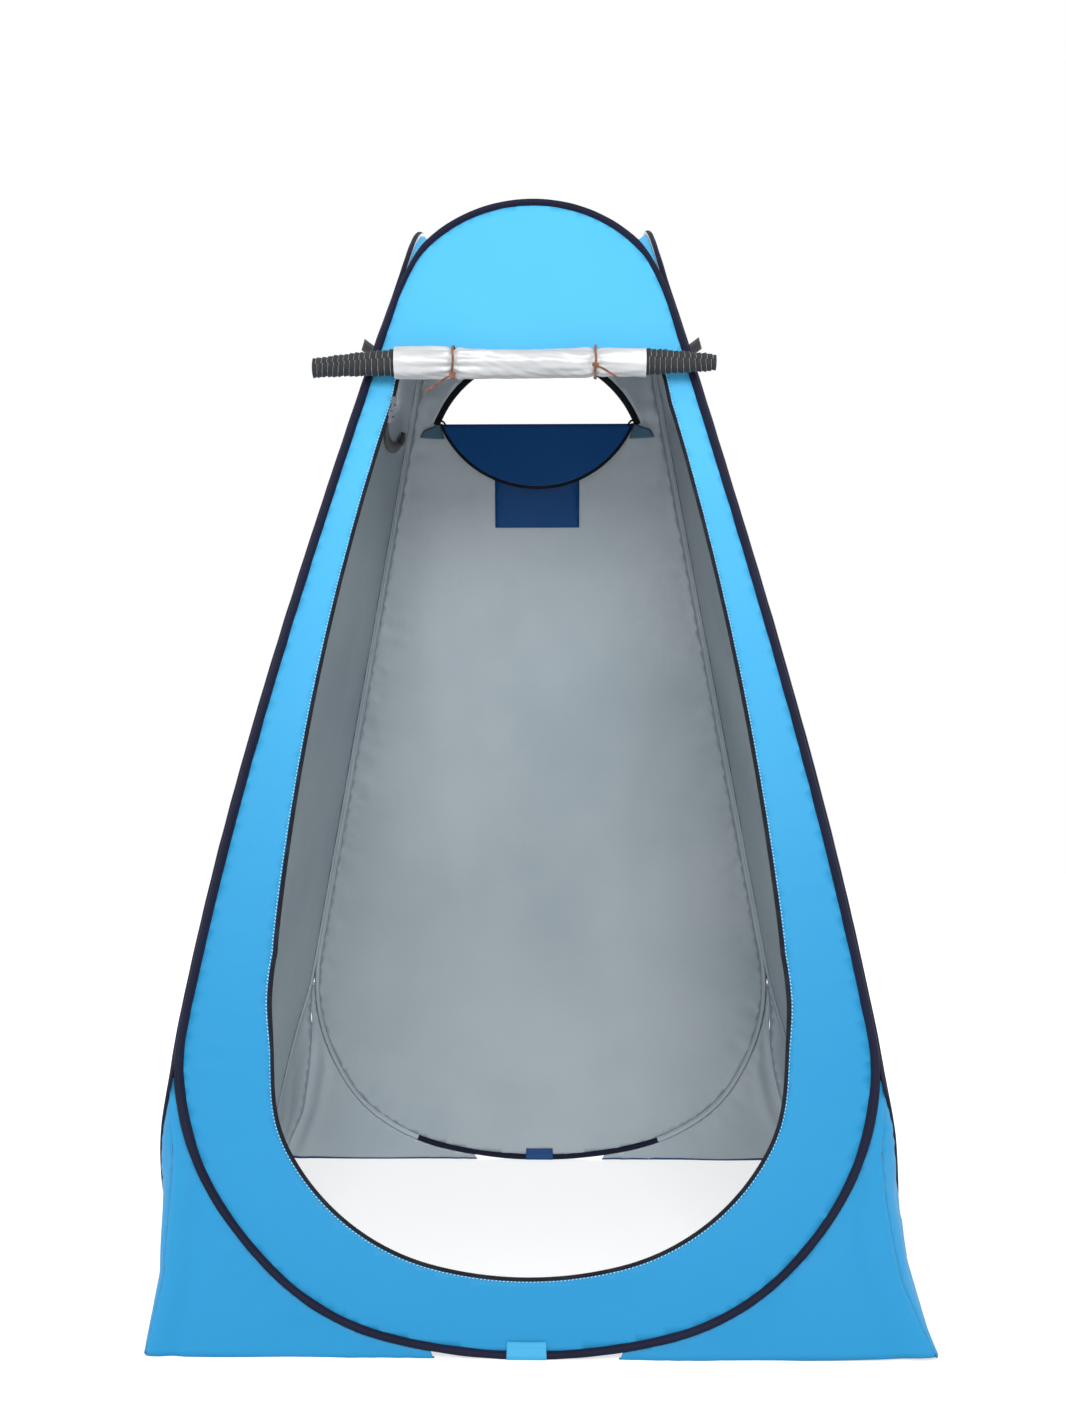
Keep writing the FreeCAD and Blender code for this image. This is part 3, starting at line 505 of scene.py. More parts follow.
def silver_finish(name, light, dark, crease=1.0):
    """A silver coating on the cloth's inner face, which shows every small crease."""
    coat = Finish(name)
    source, (x, y, z) = coat.place()
    clouds = coat.speckle(source, 2.6, detail=3)
    creases = coat.speckle(source, 38, detail=6, stretch=(1, 1, 0.35))
    fine = coat.speckle(source, 160, detail=4)
    weave = ((x + y) * 5200).sine() * (z * 5200).sine()
    return coat.done(
        Base_Color=coat.tint(clouds.between(0.3, 0.7), dark, light),
        Metallic=0.3,
        Roughness=0.38 + fine * 0.2,
        Normal=coat.bump(creases + fine * 0.3 + weave * 0.05, 0.3 * crease, 0.0022),
    )


# Painted light: the paler top colour and the darker foot colour stand in for light falling from above.
tent_blue = blue_finish("blue_polyester", (0.052, 0.345, 0.60, 1), (0.011, 0.198, 0.405, 1))
tent_silver = silver_finish("silver_lining", (0.37, 0.42, 0.45, 1), (0.30, 0.35, 0.385, 1))


def is_inside(points, loops):
    """Which points an odd number of loops go round."""
    odd = np.zeros(len(points), bool)
    for loop in loops:
        following = np.roll(loop, -1, 0)
        rise = following[:, 1] - loop[:, 1]
        rise[rise == 0] = 1e-12
        crosses = (loop[None, :, 1] > points[:, None, 1]) != (following[None, :, 1] > points[:, None, 1])
        place = (points[:, None, 1] - loop[None, :, 1]) / rise[None, :]
        meets = loop[None, :, 0] + place * (following[:, 0] - loop[:, 0])[None, :]
        odd ^= (np.sum(crosses & (points[:, None, 0] < meets), axis=1) % 2).astype(bool)
    return odd


def nearest(points, line):
    """Each point's distance from a line of points, and how far along the line it lies."""
    run = run_along(line)
    gap = np.empty(len(points))
    along = np.empty(len(points))
    for start in range(0, len(points), 2000):
        block = points[start : start + 2000]
        distance = np.linalg.norm(block[:, None, :] - line[None, :, :], axis=2)
        closest = distance.argmin(1)
        gap[start : start + 2000] = distance[np.arange(len(block)), closest]
        along[start : start + 2000] = run[closest]
    return gap, along


def cut_cloth(loops, step):
    """Points and triangles that fill the loops, on a staggered grid inside them."""
    everything = np.concatenate(loops)
    low, high = everything.min(0), everything.max(0)
    rows = np.arange(low[1], high[1], step * 0.866)
    grid = []
    for number, level in enumerate(rows):
        start = low[0] + (step / 2 if number % 2 else 0)
        columns = np.arange(start, high[0], step)
        grid.append(np.stack([columns, np.full(len(columns), level)], -1))
    grid = np.concatenate(grid)
    grid = grid[is_inside(grid, loops)]
    gap = np.min([nearest(grid, loop)[0] for loop in loops], axis=0)
    grid = grid[gap > step * 0.55]
    points = np.concatenate([everything, grid])
    edges = []
    first = 0
    for loop in loops:
        count = len(loop)
        edges += [(first + n, first + (n + 1) % count) for n in range(count)]
        first += count
    found = delaunay_2d_cdt([Vector(p) for p in points], edges, [], 1, 1e-7)
    flat = np.array([tuple(v) for v in found[0]])
    faces = np.array([tuple(f) for f in found[2]])
    middle = flat[faces].mean(1)
    faces = faces[is_inside(middle, loops)]
    used, faces = np.unique(faces, return_inverse=True)
    return flat[used], faces.reshape(-1, 3)


def ripple(points, scale, seed, stretch=(1.0, 1.0)):
    """Smooth noise from -1 to 1 at flat points."""
    shift = seed * 17.3
    return np.array(
        [noise.noise((x * stretch[0] / scale + shift, y * stretch[1] / scale, shift)) for x, y in points]
    )


def pucker(flat, line, seed, depth, length, reach):
    """Small folds square to a seam, deepest a little way in from it."""
    gap, along = nearest(flat, line)
    folds = np.array([noise.noise((s / length, seed * 9.1, g / 0.09)) for s, g in zip(along, gap)])
    return depth * (gap / reach) * np.exp(1 - gap / reach) * folds, gap


def settled(piece):
    """Applies a piece's modifiers to its mesh."""
    graph = bpy.context.evaluated_depsgraph_get()
    mesh = bpy.data.meshes.new_from_object(piece.evaluated_get(graph))
    piece.modifiers.clear()
    piece.data = mesh
    return piece


def two_faced(piece, thickness=CLOTH):
    """Gives cloth its thickness, with its second finish on the inner face and its first on the rim."""
    skin = piece.modifiers.new("thickness", "SOLIDIFY")
    skin.thickness = thickness
    skin.offset = -1
    skin.material_offset = 1
    skin.material_offset_rim = 0
    return settled(piece)


def flat_area(flat, faces):
    a, b, c = (flat[faces[:, n]] for n in range(3))
    u, v = b - a, c - a
    return float(np.abs(u[:, 0] * v[:, 1] - u[:, 1] * v[:, 0]).sum() / 2)


def window_loop(grow, count=160):
    radius = WINDOW_RADIUS + grow
    start = math.asin((SILL - WINDOW_CENTRE) / radius)
    top = arc_points((0.0, WINDOW_CENTRE), radius, start, math.pi - start)
    return evenly(top, count, closed=True)


def wall_cloth(side, seed):
    edge = hoop_loop(inset=SEAM_LAP, count=420)
    loops = [edge]
    if side == "front":
        loops.append(both_halves(egg(**DOOR, inset=-SEAM_LAP), 420))
    if side == "back":
        loops.append(window_loop(WINDOW_TAPE * 0.5))
    flat, faces = cut_cloth(loops, CLOTH_STEP)
    small, gap = pucker(flat, edge, seed, 0.0030 if side == "back" else 0.0015, 0.015, 0.022)
    slack = 1 - np.exp(-gap / 0.07)
    for hole in loops[1:]:
        slack = slack * (1 - np.exp(-((nearest(flat, hole)[0] / 0.03) ** 2)))
    broad = 0.005 * ripple(flat, 0.34, seed, (1.0, 0.6)) * slack
    drape = 0.0014 * ripple(flat, 0.075, seed + 5, (1.0, 0.35)) * slack
    relief = small + broad + drape
    if side == "back":
        level = np.abs(flat[:, 1] - YOKE_SEAM)
        gathers = np.array([noise.noise((u / 0.016, 4.4, 0.0)) for u in flat[:, 0]])
        relief += 0.0024 * gathers * np.exp(-level / 0.018)
        relief += 0.0016 * np.exp(-((level / 0.006) ** 2))
        high = np.clip((flat[:, 1] - 1.56) / 0.08, 0, 1) * np.clip((np.abs(flat[:, 0]) - 0.2) / 0.04, 0, 1)
        relief += 0.006 * high * ripple(flat, 0.034, 3.0, (1.0, 0.5)) * np.clip(gap / 0.02, 0, 1)
    piece = new_piece(
        f"{side}_wall_cloth",
        on_wall(side, flat[:, 0], relief, flat[:, 1]),
        faces.tolist(),
        [tent_blue, tent_silver],
    )
    two_faced(piece)
    flat_area(flat, faces)
    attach(piece, WALL_BODY[side])
    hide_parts(f"{side}_wall_panel")
    return piece


walls = {side: wall_cloth(side, seed) for seed, side in enumerate(YAW, start=1)}


# ---- Hoop sleeves -------------------------------------------------------------------------------
# A binding of navy cloth is folded round each hoop and sewn to the wall's edge. From inside the tent
# the wall's silver face covers it, except at the foot, where the binding shows all round.
FLANGE = 0.0070
FLANGE_HALF = 0.0012
SILVER_FROM = 0.05
ROUND_STEPS = 18


def sleeve_profile():
    turns = np.radians(np.linspace(18, 342, ROUND_STEPS))
    tube = np.stack([SLEEVE_RADIUS * np.cos(turns), SLEEVE_RADIUS * np.sin(turns)], -1)
    hem = [(FLANGE, -FLANGE_HALF), (FLANGE + 0.0004, 0.0), (FLANGE, FLANGE_HALF)]
    return np.concatenate([tube, hem])


def binding_finish():
    """Navy binding with a soft sheen, ribbed across by its folds and by a row of stitches."""
    navy = Finish("navy_binding")
    source, _ = navy.place()
    _, (along, girth, _) = navy.place(lengths=True)
    folds = navy.speckle(source, 120, detail=4)
    clouds = navy.speckle(source, 9, detail=2)
    weave = (along * 4200).sine() * (girth * 4200).sine()
    return navy.done(
        Base_Color=navy.tint(clouds, (0.0035, 0.0045, 0.014, 1), (0.009, 0.011, 0.030, 1)),
        Roughness=0.42 + folds * 0.25,
        Specular_IOR_Level=0.10,
        Normal=navy.bump(folds + weave * 0.15, 0.45, 0.0012),
    )


navy_binding = binding_finish()
PROFILE = sleeve_profile()
INNER_FACES = {
    n
    for n in range(len(PROFILE))
    if (PROFILE[n][1] + PROFILE[(n + 1) % len(PROFILE)][1]) / 2 < -0.0008
    and (PROFILE[n][0] + PROFILE[(n + 1) % len(PROFILE)][0]) / 2 > -0.0035
}
for seed, side in enumerate(YAW):
    loop = hoop_loop()
    waves = np.array([noise.noise((n / 4.3, seed * 7.7, 0.0)) for n in range(len(loop))])
    sleeve = swept(
        f"{side}_binding",
        side,
        loop,
        PROFILE,
        [navy_binding, tent_silver],
        closed=True,
        swell=1 + 0.09 * waves,
        choose=lambda place, n: int(place[1] > SILVER_FROM and n in INNER_FACES),
    )
    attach(sleeve, WALL_BODY[side])
    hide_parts(f"{side}_hoop_sleeve")


# ---- Joint tabs ---------------------------------------------------------------------------------
# A patch of the wall's blue cloth is folded up round each sleeve's mouth at the foot and sewn flat
# to both faces of the wall, to cover the place where the wire went in.
TAB_HALF = 0.0305
TAB_RADIUS = 0.0072
TAB_CLOTH = 0.0008
TAB_REACH = 0.021


def tab_profile():
    """A U of cloth round the sleeve: down the outer face, under, and up the inner face."""
    turns = np.radians(np.linspace(40, 320, 15))
    outer = np.stack([TAB_RADIUS * np.cos(turns), TAB_RADIUS * np.sin(turns)], -1)
    inner = outer * (1 - TAB_CLOTH / TAB_RADIUS)
    legs_out = [(TAB_REACH, 0.0024), (0.013, 0.0026)]
    legs_in = [(0.013, -0.0026), (TAB_REACH, -0.0024)]
    back_in = [(TAB_REACH, -0.0016), (0.013, -0.0018)]
    back_out = [(0.013, 0.0018), (TAB_REACH, 0.0016)]
    return np.concatenate([legs_out, outer, legs_in, back_in, inner[::-1], back_out])


tab_blue = blue_finish("tab_blue", (0.042, 0.300, 0.515, 1), (0.036, 0.275, 0.485, 1))
# Painted shade: the tabs' faces on the inner side of the wall take this darker blue, for the shade inside
# the tent.
tab_painted_shade = blue_finish("tab_painted_shade", (0.006, 0.060, 0.20, 1), (0.005, 0.050, 0.17, 1))
for side in YAW:
    tab = swept(
        f"{side}_foot_tab",
        side,
        foot_stretch(TAB_HALF, count=34),
        tab_profile(),
        [tab_blue, tab_painted_shade],
        choose=lambda place, n: int(9 < n < 24),
    )
    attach(tab, WALL_BODY[side])
    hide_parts(f"{side}_joint_tab")


# ---- Corner skirts ------------------------------------------------------------------------------
# The same cloth closes the gap under each hoop's round corner, down to the ground. Each corner's skirt
# turns the corner in a soft fold, and hangs from the sleeves of the two walls that meet there.
SKIRT_REACH = 0.14
FOLD_WIDTH = 0.035
FOLD_DEPTH = 0.007
NEIGHBOURS = {
    "front": ("left", "right"),
    "right": ("front", "back"),
    "back": ("right", "left"),
    "left": ("back", "front"),
}


HEM_LIFT = {-1: 0.003, 1: 0.009}
HEM_HEIGHT = 0.0055
SKIRT_CAVE = 0.028
CAVE_WIDTH = 0.12
CAVE_FROM_SEAM = 0.05
# Painted shade: the turned-up hem inside the skirts is the tent's blue cloth, painted dark for the shade
# inside the tent.
hem_painted_shade = blue_finish("hem_blue", (0.006, 0.060, 0.20, 1), (0.004, 0.045, 0.16, 1), strength=1.2)


def skirt_cloth(side, direction, seed):
    neighbour = NEIGHBOURS[side][0 if direction < 0 else 1]
    half = egg(**HOOP, inset=-SEAM_LAP)
    hoop_edge = half[(half[:, 0] > SKIRT_REACH) & (half[:, 1] < SKIRT_TOP)]
    hoop_edge = evenly(hoop_edge, 90)
    top = hoop_edge[-1]
    corner_foot = np.array([BASE_HALF, 0.0])
    corner_top = np.array([BASE_HALF - math.sin(LEAN) * top[1], top[1]])
    ground = evenly(np.array([[hoop_edge[0][0], 0.0], corner_foot]), 60)
    seam = evenly(np.array([corner_foot, corner_top]), 50)
    cut = np.concatenate([hoop_edge[::-1][:-1], ground[:-1], seam])

    def hung_cloth(flat, inward=0.0):
        small, gap = pucker(flat, hoop_edge, seed, 0.0028, 0.016, 0.018)
        to_corner = BASE_HALF - math.sin(LEAN) * flat[:, 1] - flat[:, 0]
        fold = FOLD_DEPTH * np.clip(1 - to_corner / FOLD_WIDTH, 0, 1) ** 2
        free = np.clip(to_corner / 0.05, 0, 1) * np.clip(gap / 0.04, 0, 1)
        low = 1 - flat[:, 1] / SKIRT_TOP
        waves = 0.007 * ripple(flat, 0.16, seed, (1.0, 0.45)) * free * low
        near_seam = np.exp(-to_corner / 0.05) * np.clip(to_corner / 0.012, 0, 1)
        ruck = 0.0035 * ripple(flat, 0.05, seed + 3, (1.0, 0.3)) * near_seam
        crease = -0.004 * np.exp(-(((to_corner - 0.06 - 0.05 * flat[:, 1]) / 0.018) ** 2)) * free
        cave = SKIRT_CAVE * np.sin(np.pi * np.clip(flat[:, 1] / SKIRT_TOP, 0, 1))
        cave *= np.clip(1 - to_corner / CAVE_WIDTH, 0, 1) ** 1.5 * smooth(gap / CAVE_FROM_SEAM)
        sideways = side in ("left", "right")
        out = small + waves + crease + ruck - fold - inward - cave * sideways
        across = flat[:, 0] - fold - cave * (not sideways)
        points = on_wall(side, direction * across, out, flat[:, 1])
        lift = HEM_LIFT[direction if side == "front" else -1] * (flat[:, 0] / BASE_HALF) ** 3
        points[:, 2] += 0.0009 + lift * low**4
        return points

    flat, faces = cut_cloth([cut], 0.011)
    order = faces if direction > 0 else faces[:, ::-1]
    piece = new_piece(
        f"{side}_{neighbour}_skirt_leaf", hung_cloth(flat), order.tolist(), [tent_blue, tent_silver]
    )
    two_faced(piece)
    hem = np.stack([hung_cloth(ground + [0.0, height], 0.0012) for height in (0.0, HEM_HEIGHT)], 1)
    hem_faces = grid_faces(len(ground), 2, around=False)
    if direction < 0:
        hem_faces = [face[::-1] for face in hem_faces]
    turned_up = new_piece(f"{side}_{neighbour}_hem", hem, hem_faces, [hem_painted_shade])
    two_faced(turned_up)
    for part in (piece, turned_up):
        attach(part, WALL_BODY[side])
    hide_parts(f"{side}_skirt_by_{neighbour}")
    width = flat[:, 0].max() - flat[:, 0].min()
    flat_area(flat, faces)


for seed, side in enumerate(YAW, start=11):
    skirt_cloth(side, -1, seed)
    skirt_cloth(side, 1, seed + 6)


# ---- Corner seams -------------------------------------------------------------------------------
# Above the skirts the two walls' sleeves are sewn side by side, with a narrow tape between them up to
# the place where the hoops part.
SEAM_TOP = 1.74
SEAM_STEPS = 160
SEAM_LIFT = 0.001
SEAM_ROUND = 0.0035


def seam_tape(side, direction, body):
    neighbour = NEIGHBOURS[side][0 if direction < 0 else 1]
    up = np.linspace(SKIRT_TOP - 0.03, SEAM_TOP, SEAM_STEPS)
    centre = (HOOP_EDGE - math.sin(EDGE_LEAN) * up) / math.cos(EDGE_LEAN)
    mine = on_wall(side, direction * centre, SEAM_LIFT, up)
    theirs = on_wall(neighbour, -direction * centre, SEAM_LIFT, up)
    shares = np.linspace(0, 1, 7)
    outward = mine + theirs
    outward[:, 2] = 0
    outward /= np.linalg.norm(outward, axis=1)[:, None]
    rows = []
    for share in shares:
        bulge = SEAM_ROUND * math.sin(math.pi * share)
        rows.append(mine * (1 - share) + theirs * share + outward * bulge)
    points = np.stack(rows, 1)
    faces = grid_faces(SEAM_STEPS, len(shares), around=False)
    if direction < 0:
        faces = [face[::-1] for face in faces]
    piece = new_piece(f"corner_seam_{neighbour}_{side}", points, faces, [navy_binding, tent_silver])
    two_faced(piece, 0.0008)
    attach(piece, body)


seam_tape("left", -1, "back_wall")
seam_tape("right", 1, "back_wall")
seam_tape("front", -1, "left_wall")
seam_tape("front", 1, "front_wall")


# ---- Roof ---------------------------------------------------------------------------------------
# One piece of the same cloth spans the four hoops' free arcs. It is sewn to the sleeves and draws down
# to a dip in the middle, with creases that run in to the four low corners.
ROOF_FROM = 1.70
ROOF_SIDE = 44
ROOF_IN = 0.0045
ROOF_ROUNDS = 2500


def roof_edge(side):
    """The line along one hoop's arc, from its left corner over the crown to its right one."""
    half = egg(**HOOP, inset=0.001)
    high = half[half[:, 1] > ROOF_FROM]
    line = evenly(np.concatenate([high * [-1, 1], high[::-1][1:]]), ROOF_SIDE + 1)
    return on_wall(side, line[:, 0], -ROOF_IN, line[:, 1])


def roof_cloth():
    edges = {side: roof_edge(side) for side in YAW}
    count = ROOF_SIDE + 1
    sheet = np.zeros((count, count, 3))
    sheet[0] = edges["front"]
    sheet[-1] = edges["back"][::-1]
    sheet[:, 0] = edges["left"][::-1]
    sheet[:, -1] = edges["right"]
    for row, column in ((0, 0), (0, -1), (-1, 0), (-1, -1)):
        inner_row = 1 if row == 0 else -2
        inner_column = 1 if column == 0 else -2
        sheet[row, column] = (sheet[row, inner_column] + sheet[inner_row, column]) / 2
    share = np.linspace(0, 1, count)[1:-1, None, None]
    sheet[1:-1, 1:-1] = (sheet[0, 1:-1] * (1 - share) + sheet[-1, 1:-1] * share) * 0.5 + (
        sheet[1:-1, :1] * (1 - share.transpose(1, 0, 2)) + sheet[1:-1, -1:] * share.transpose(1, 0, 2)
    ) * 0.5
    for _ in range(ROOF_ROUNDS):
        around = sheet[:-2, 1:-1] + sheet[2:, 1:-1] + sheet[1:-1, :-2] + sheet[1:-1, 2:]
        sheet[1:-1, 1:-1] = around / 4
    place = np.linspace(-1, 1, count)
    across, along = np.meshgrid(place, place)
    free = (1 - across**2) * (1 - along**2)
    turns = np.arctan2(along, across)
    folds = np.sin(turns * 14) * np.exp(-((np.hypot(across, along) - 0.8) / 0.35) ** 2)
    ripples = np.array(
        [noise.noise((x * 16, y * 16, 2.5)) for x, y in sheet[:, :, :2].reshape(-1, 2)]
    ).reshape(count, count)
    sheet[:, :, 2] += free * (0.004 * folds + 0.007 * ripples)
    faces = grid_faces(count, count, around=False)
    piece = new_piece("roof_canopy", sheet, faces, [tent_blue, tent_silver])
    finer = piece.modifiers.new("finer", "SUBSURF")
    finer.levels = finer.render_levels = 1
    settled(piece)
    piece.data.polygons.foreach_set("use_smooth", [True] * len(piece.data.polygons))
    two_faced(piece)
    return piece


roof = roof_cloth()
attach(roof, "back_wall")
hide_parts("roof_cloth")
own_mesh(roof)


# ---- Doorway zip --------------------------------------------------------------------------------
# Black woven zip tape edges the doorway, sewn to the wall with a fine pale thread. Its coil of small
# teeth runs round the inside of the opening.
TAPE_HALF = 0.0010
TEETH_PITCH = 0.0034
STITCH_PITCH = 0.0058
STITCH_LENGTH = 0.0034


def tape_finish(name, dark, light):
    """Black tape with a herringbone rib along it."""
    tape = Finish(name)
    source, _ = tape.place()
    _, (along, girth, _) = tape.place(lengths=True)
    ribs = (along * 3100 + girth * 2600).sine()
    dust = tape.speckle(source, 40, detail=4)
    return tape.done(
        Base_Color=tape.tint(dust.between(0.4, 0.8), dark, light),
        Roughness=0.62 + dust * 0.2,
        Specular_IOR_Level=0.15,
        Sheen_Weight=0.04,
        Normal=tape.bump(ribs * 0.5 + dust, 0.5, 0.0006),
    )


def thread_finish(name, tone):
    thread = Finish(name)
    source, _ = thread.place()
    lay = thread.speckle(source, 2600, detail=1)
    return thread.done(
        Base_Color=thread.tint(lay, tone, (0.9, 0.95, 1.0, 1)),
        Roughness=0.6,
        Normal=thread.bump(lay, 0.5, 0.0002),
    )


black_tape = tape_finish("zip_tape", (0.004, 0.005, 0.009, 1), (0.012, 0.014, 0.022, 1))
pale_thread = thread_finish("pale_thread", (0.35, 0.75, 0.98, 1))
teeth_plastic = tape_finish("coil_teeth", (0.012, 0.012, 0.014, 1), (0.05, 0.05, 0.055, 1))


def pips(name, side, path, offset, out, pitch, size, finish, slant=0.0):
    """A row of small pointed pips along a path, such as stitches or a zip's teeth. size is the half
    length along the row, across it and out of the wall."""
    length = np.linalg.norm(np.diff(path, axis=0), axis=1).sum()
    row = evenly(path, max(2, int(length / pitch)))
    normal = side_normals(row, False)
    ahead = np.stack([normal[:, 1], -normal[:, 0]], -1)
    centre = row + normal * offset
    half, wide, tall = size
    points = []
    for along, across, lift in (
        (-1, -slant, 0), (1, slant, 0), (0, -1, 0), (0, 1, 0), (0, 0, 1), (0, 0, -1),
    ):
        spot = centre + ahead * along * half + normal * across * wide
        points.append(on_wall(side, spot[:, 0], out + lift * tall, spot[:, 1]))
    points = np.stack(points, 1)
    shape = [(0, 2, 4), (2, 1, 4), (1, 3, 4), (3, 0, 4), (2, 0, 5), (1, 2, 5), (3, 1, 5), (0, 3, 5)]
    faces = [tuple(6 * n + corner for corner in face) for n in range(len(row)) for face in shape]
    return new_piece(name, points, faces, [finish])


door_edge = both_halves(egg(**DOOR, inset=0.0), DOOR_STEPS)
tape_section = [
    (0.0002, -TAPE_HALF), (0.0002, TAPE_HALF * 0.8), (-0.0012, TAPE_HALF * 1.2),
    (-TAPE_WIDTH + 0.0008, TAPE_HALF * 0.9), (-TAPE_WIDTH, 0.0), (-TAPE_WIDTH + 0.0008, -TAPE_HALF),
]
door_tape = swept("doorway_zip_tape", "front", door_edge, tape_section[::-1], [black_tape], closed=True)
door_teeth = pips(
    "doorway_zip_teeth", "front", closed_line(door_edge), 0.0, 0.0,
    TEETH_PITCH, (0.0012, 0.0011, 0.0013), teeth_plastic,
)
door_stitches = pips(
    "doorway_stitching", "front", closed_line(door_edge), -TAPE_WIDTH - 0.0010, 0.0010,
    STITCH_PITCH, (STITCH_LENGTH / 2, 0.0007, 0.0005), pale_thread, slant=0.9,
)
for piece in (door_tape, door_teeth, door_stitches):
    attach(piece, "front_wall")
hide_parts("door_zip_tape")


# ---- Rolled door --------------------------------------------------------------------------------
# The door is rolled up silver side out above the doorway. The cloth creases where the ties pinch it,
# and the two ends of its zip tape wind up with it into tapered, ribbed coils.
DOOR_TOP = DOOR["flat_top"]
ROLL_LEVEL = DOOR_TOP - 0.018
ROLL_OUT = 0.0295
ROLL_RADIUS = 0.024
ROLL_LEFT = 0.232
ROLL_RIGHT = 0.196
TIE_PLACES = {"left": -0.132, "right": 0.110}
ROLL_ROWS = 300
ROLL_ROUND = 72

# Painted light: the rolled door is the same silver cloth as the lining, painted paler for the light falling
# on it.
roll_silver_painted_light = silver_finish("rolled_silver", (0.51, 0.52, 0.53, 1), (0.40, 0.41, 0.42, 1), crease=1.1)


def over_roll(s, t, spot):
    """Smooth noise over the roll, read where spot puts each place along it and round it."""
    found = [noise.noise(spot(a, b)) for a, b in zip(s.ravel(), t.ravel())]
    return np.array(found).reshape(s.shape)


def roll_points():
    along = np.linspace(-ROLL_LEFT, ROLL_RIGHT, ROLL_ROWS)
    turns = np.linspace(0, 2 * np.pi, ROLL_ROUND, endpoint=False)
    s, t = np.meshgrid(along, turns, indexing="ij")
    radius = np.full_like(s, ROLL_RADIUS)
    for number, place in enumerate(TIE_PLACES.values()):
        away = np.abs(s - place)
        radius -= 0.0024 * np.exp(-((away / 0.007) ** 2))
        fan = over_roll(
            s - place, t, lambda a, b: (math.cos(b) * 2.6 + number * 5, math.sin(b) * 2.6, a * 9)
        )
        radius += 0.0085 * fan * np.exp(-away / 0.045) * np.clip(away / 0.008, 0, 1)
    slack = over_roll(s, t, lambda a, b: (a * 11, math.cos(b) * 1.6, math.sin(b) * 1.6))
    fine = over_roll(
        s, t, lambda a, b: (a * 42, math.cos(b + a * 9) * 3.4, math.sin(b + a * 9) * 3.4)
    )
    radius += 0.0024 * slack + 0.0013 * fine
    radius += 0.0030 * np.clip((TIE_PLACES["left"] - s) / 0.05, 0, 1)
    lap = (t - math.radians(250)) % (2 * np.pi)
    radius += 0.0012 * np.exp(-lap / 0.5)
    flatten = 1 - 0.06 * np.clip(-np.cos(t), 0, 1)
    sag = -0.0015 * np.cos(s / ROLL_LEFT * 1.4)
    return on_wall(
        "front", s, ROLL_OUT + radius * np.cos(t) * flatten, ROLL_LEVEL + sag + radius * np.sin(t)
    )


roll = new_piece("rolled_door", roll_points(), grid_faces(ROLL_ROWS, ROLL_ROUND), [roll_silver_painted_light])
roll.data.flip_normals()
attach(roll, "front_wall")
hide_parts("door_roll")


def coil_finish():
    """Wound zip tape: a thin pale line, dotted by the coil teeth, is painted along each turn's crest as a
    painted highlight.
    """
    wound = Finish("wound_tape")
    source, _ = wound.place()
    _, (rib, girth, _) = wound.place(lengths=True)
    edge = rib.part()
    teeth = (girth * 420).sine().between(-0.2, 0.5)
    # Painted highlight: the pale colour along each rib's crest stands in for light caught by the teeth.
    line = edge.between(0.82, 0.86) * (1 - edge.between(0.90, 0.94))
    dust = wound.speckle(source, 70, detail=4)
    ribs = (girth * 2600 + rib * 30).sine()
    shade = wound.tint(dust, (0.003, 0.0035, 0.005, 1), (0.014, 0.016, 0.020, 1))
    return wound.done(
        Base_Color=wound.tint(line * (0.40 + teeth * 0.25), shade, (0.42, 0.45, 0.47, 1)),
        Roughness=0.5 + dust * 0.3,
        Normal=wound.bump(ribs * 0.4 + line * 1.5 + dust * 0.6, 0.6, 0.0009),
    )


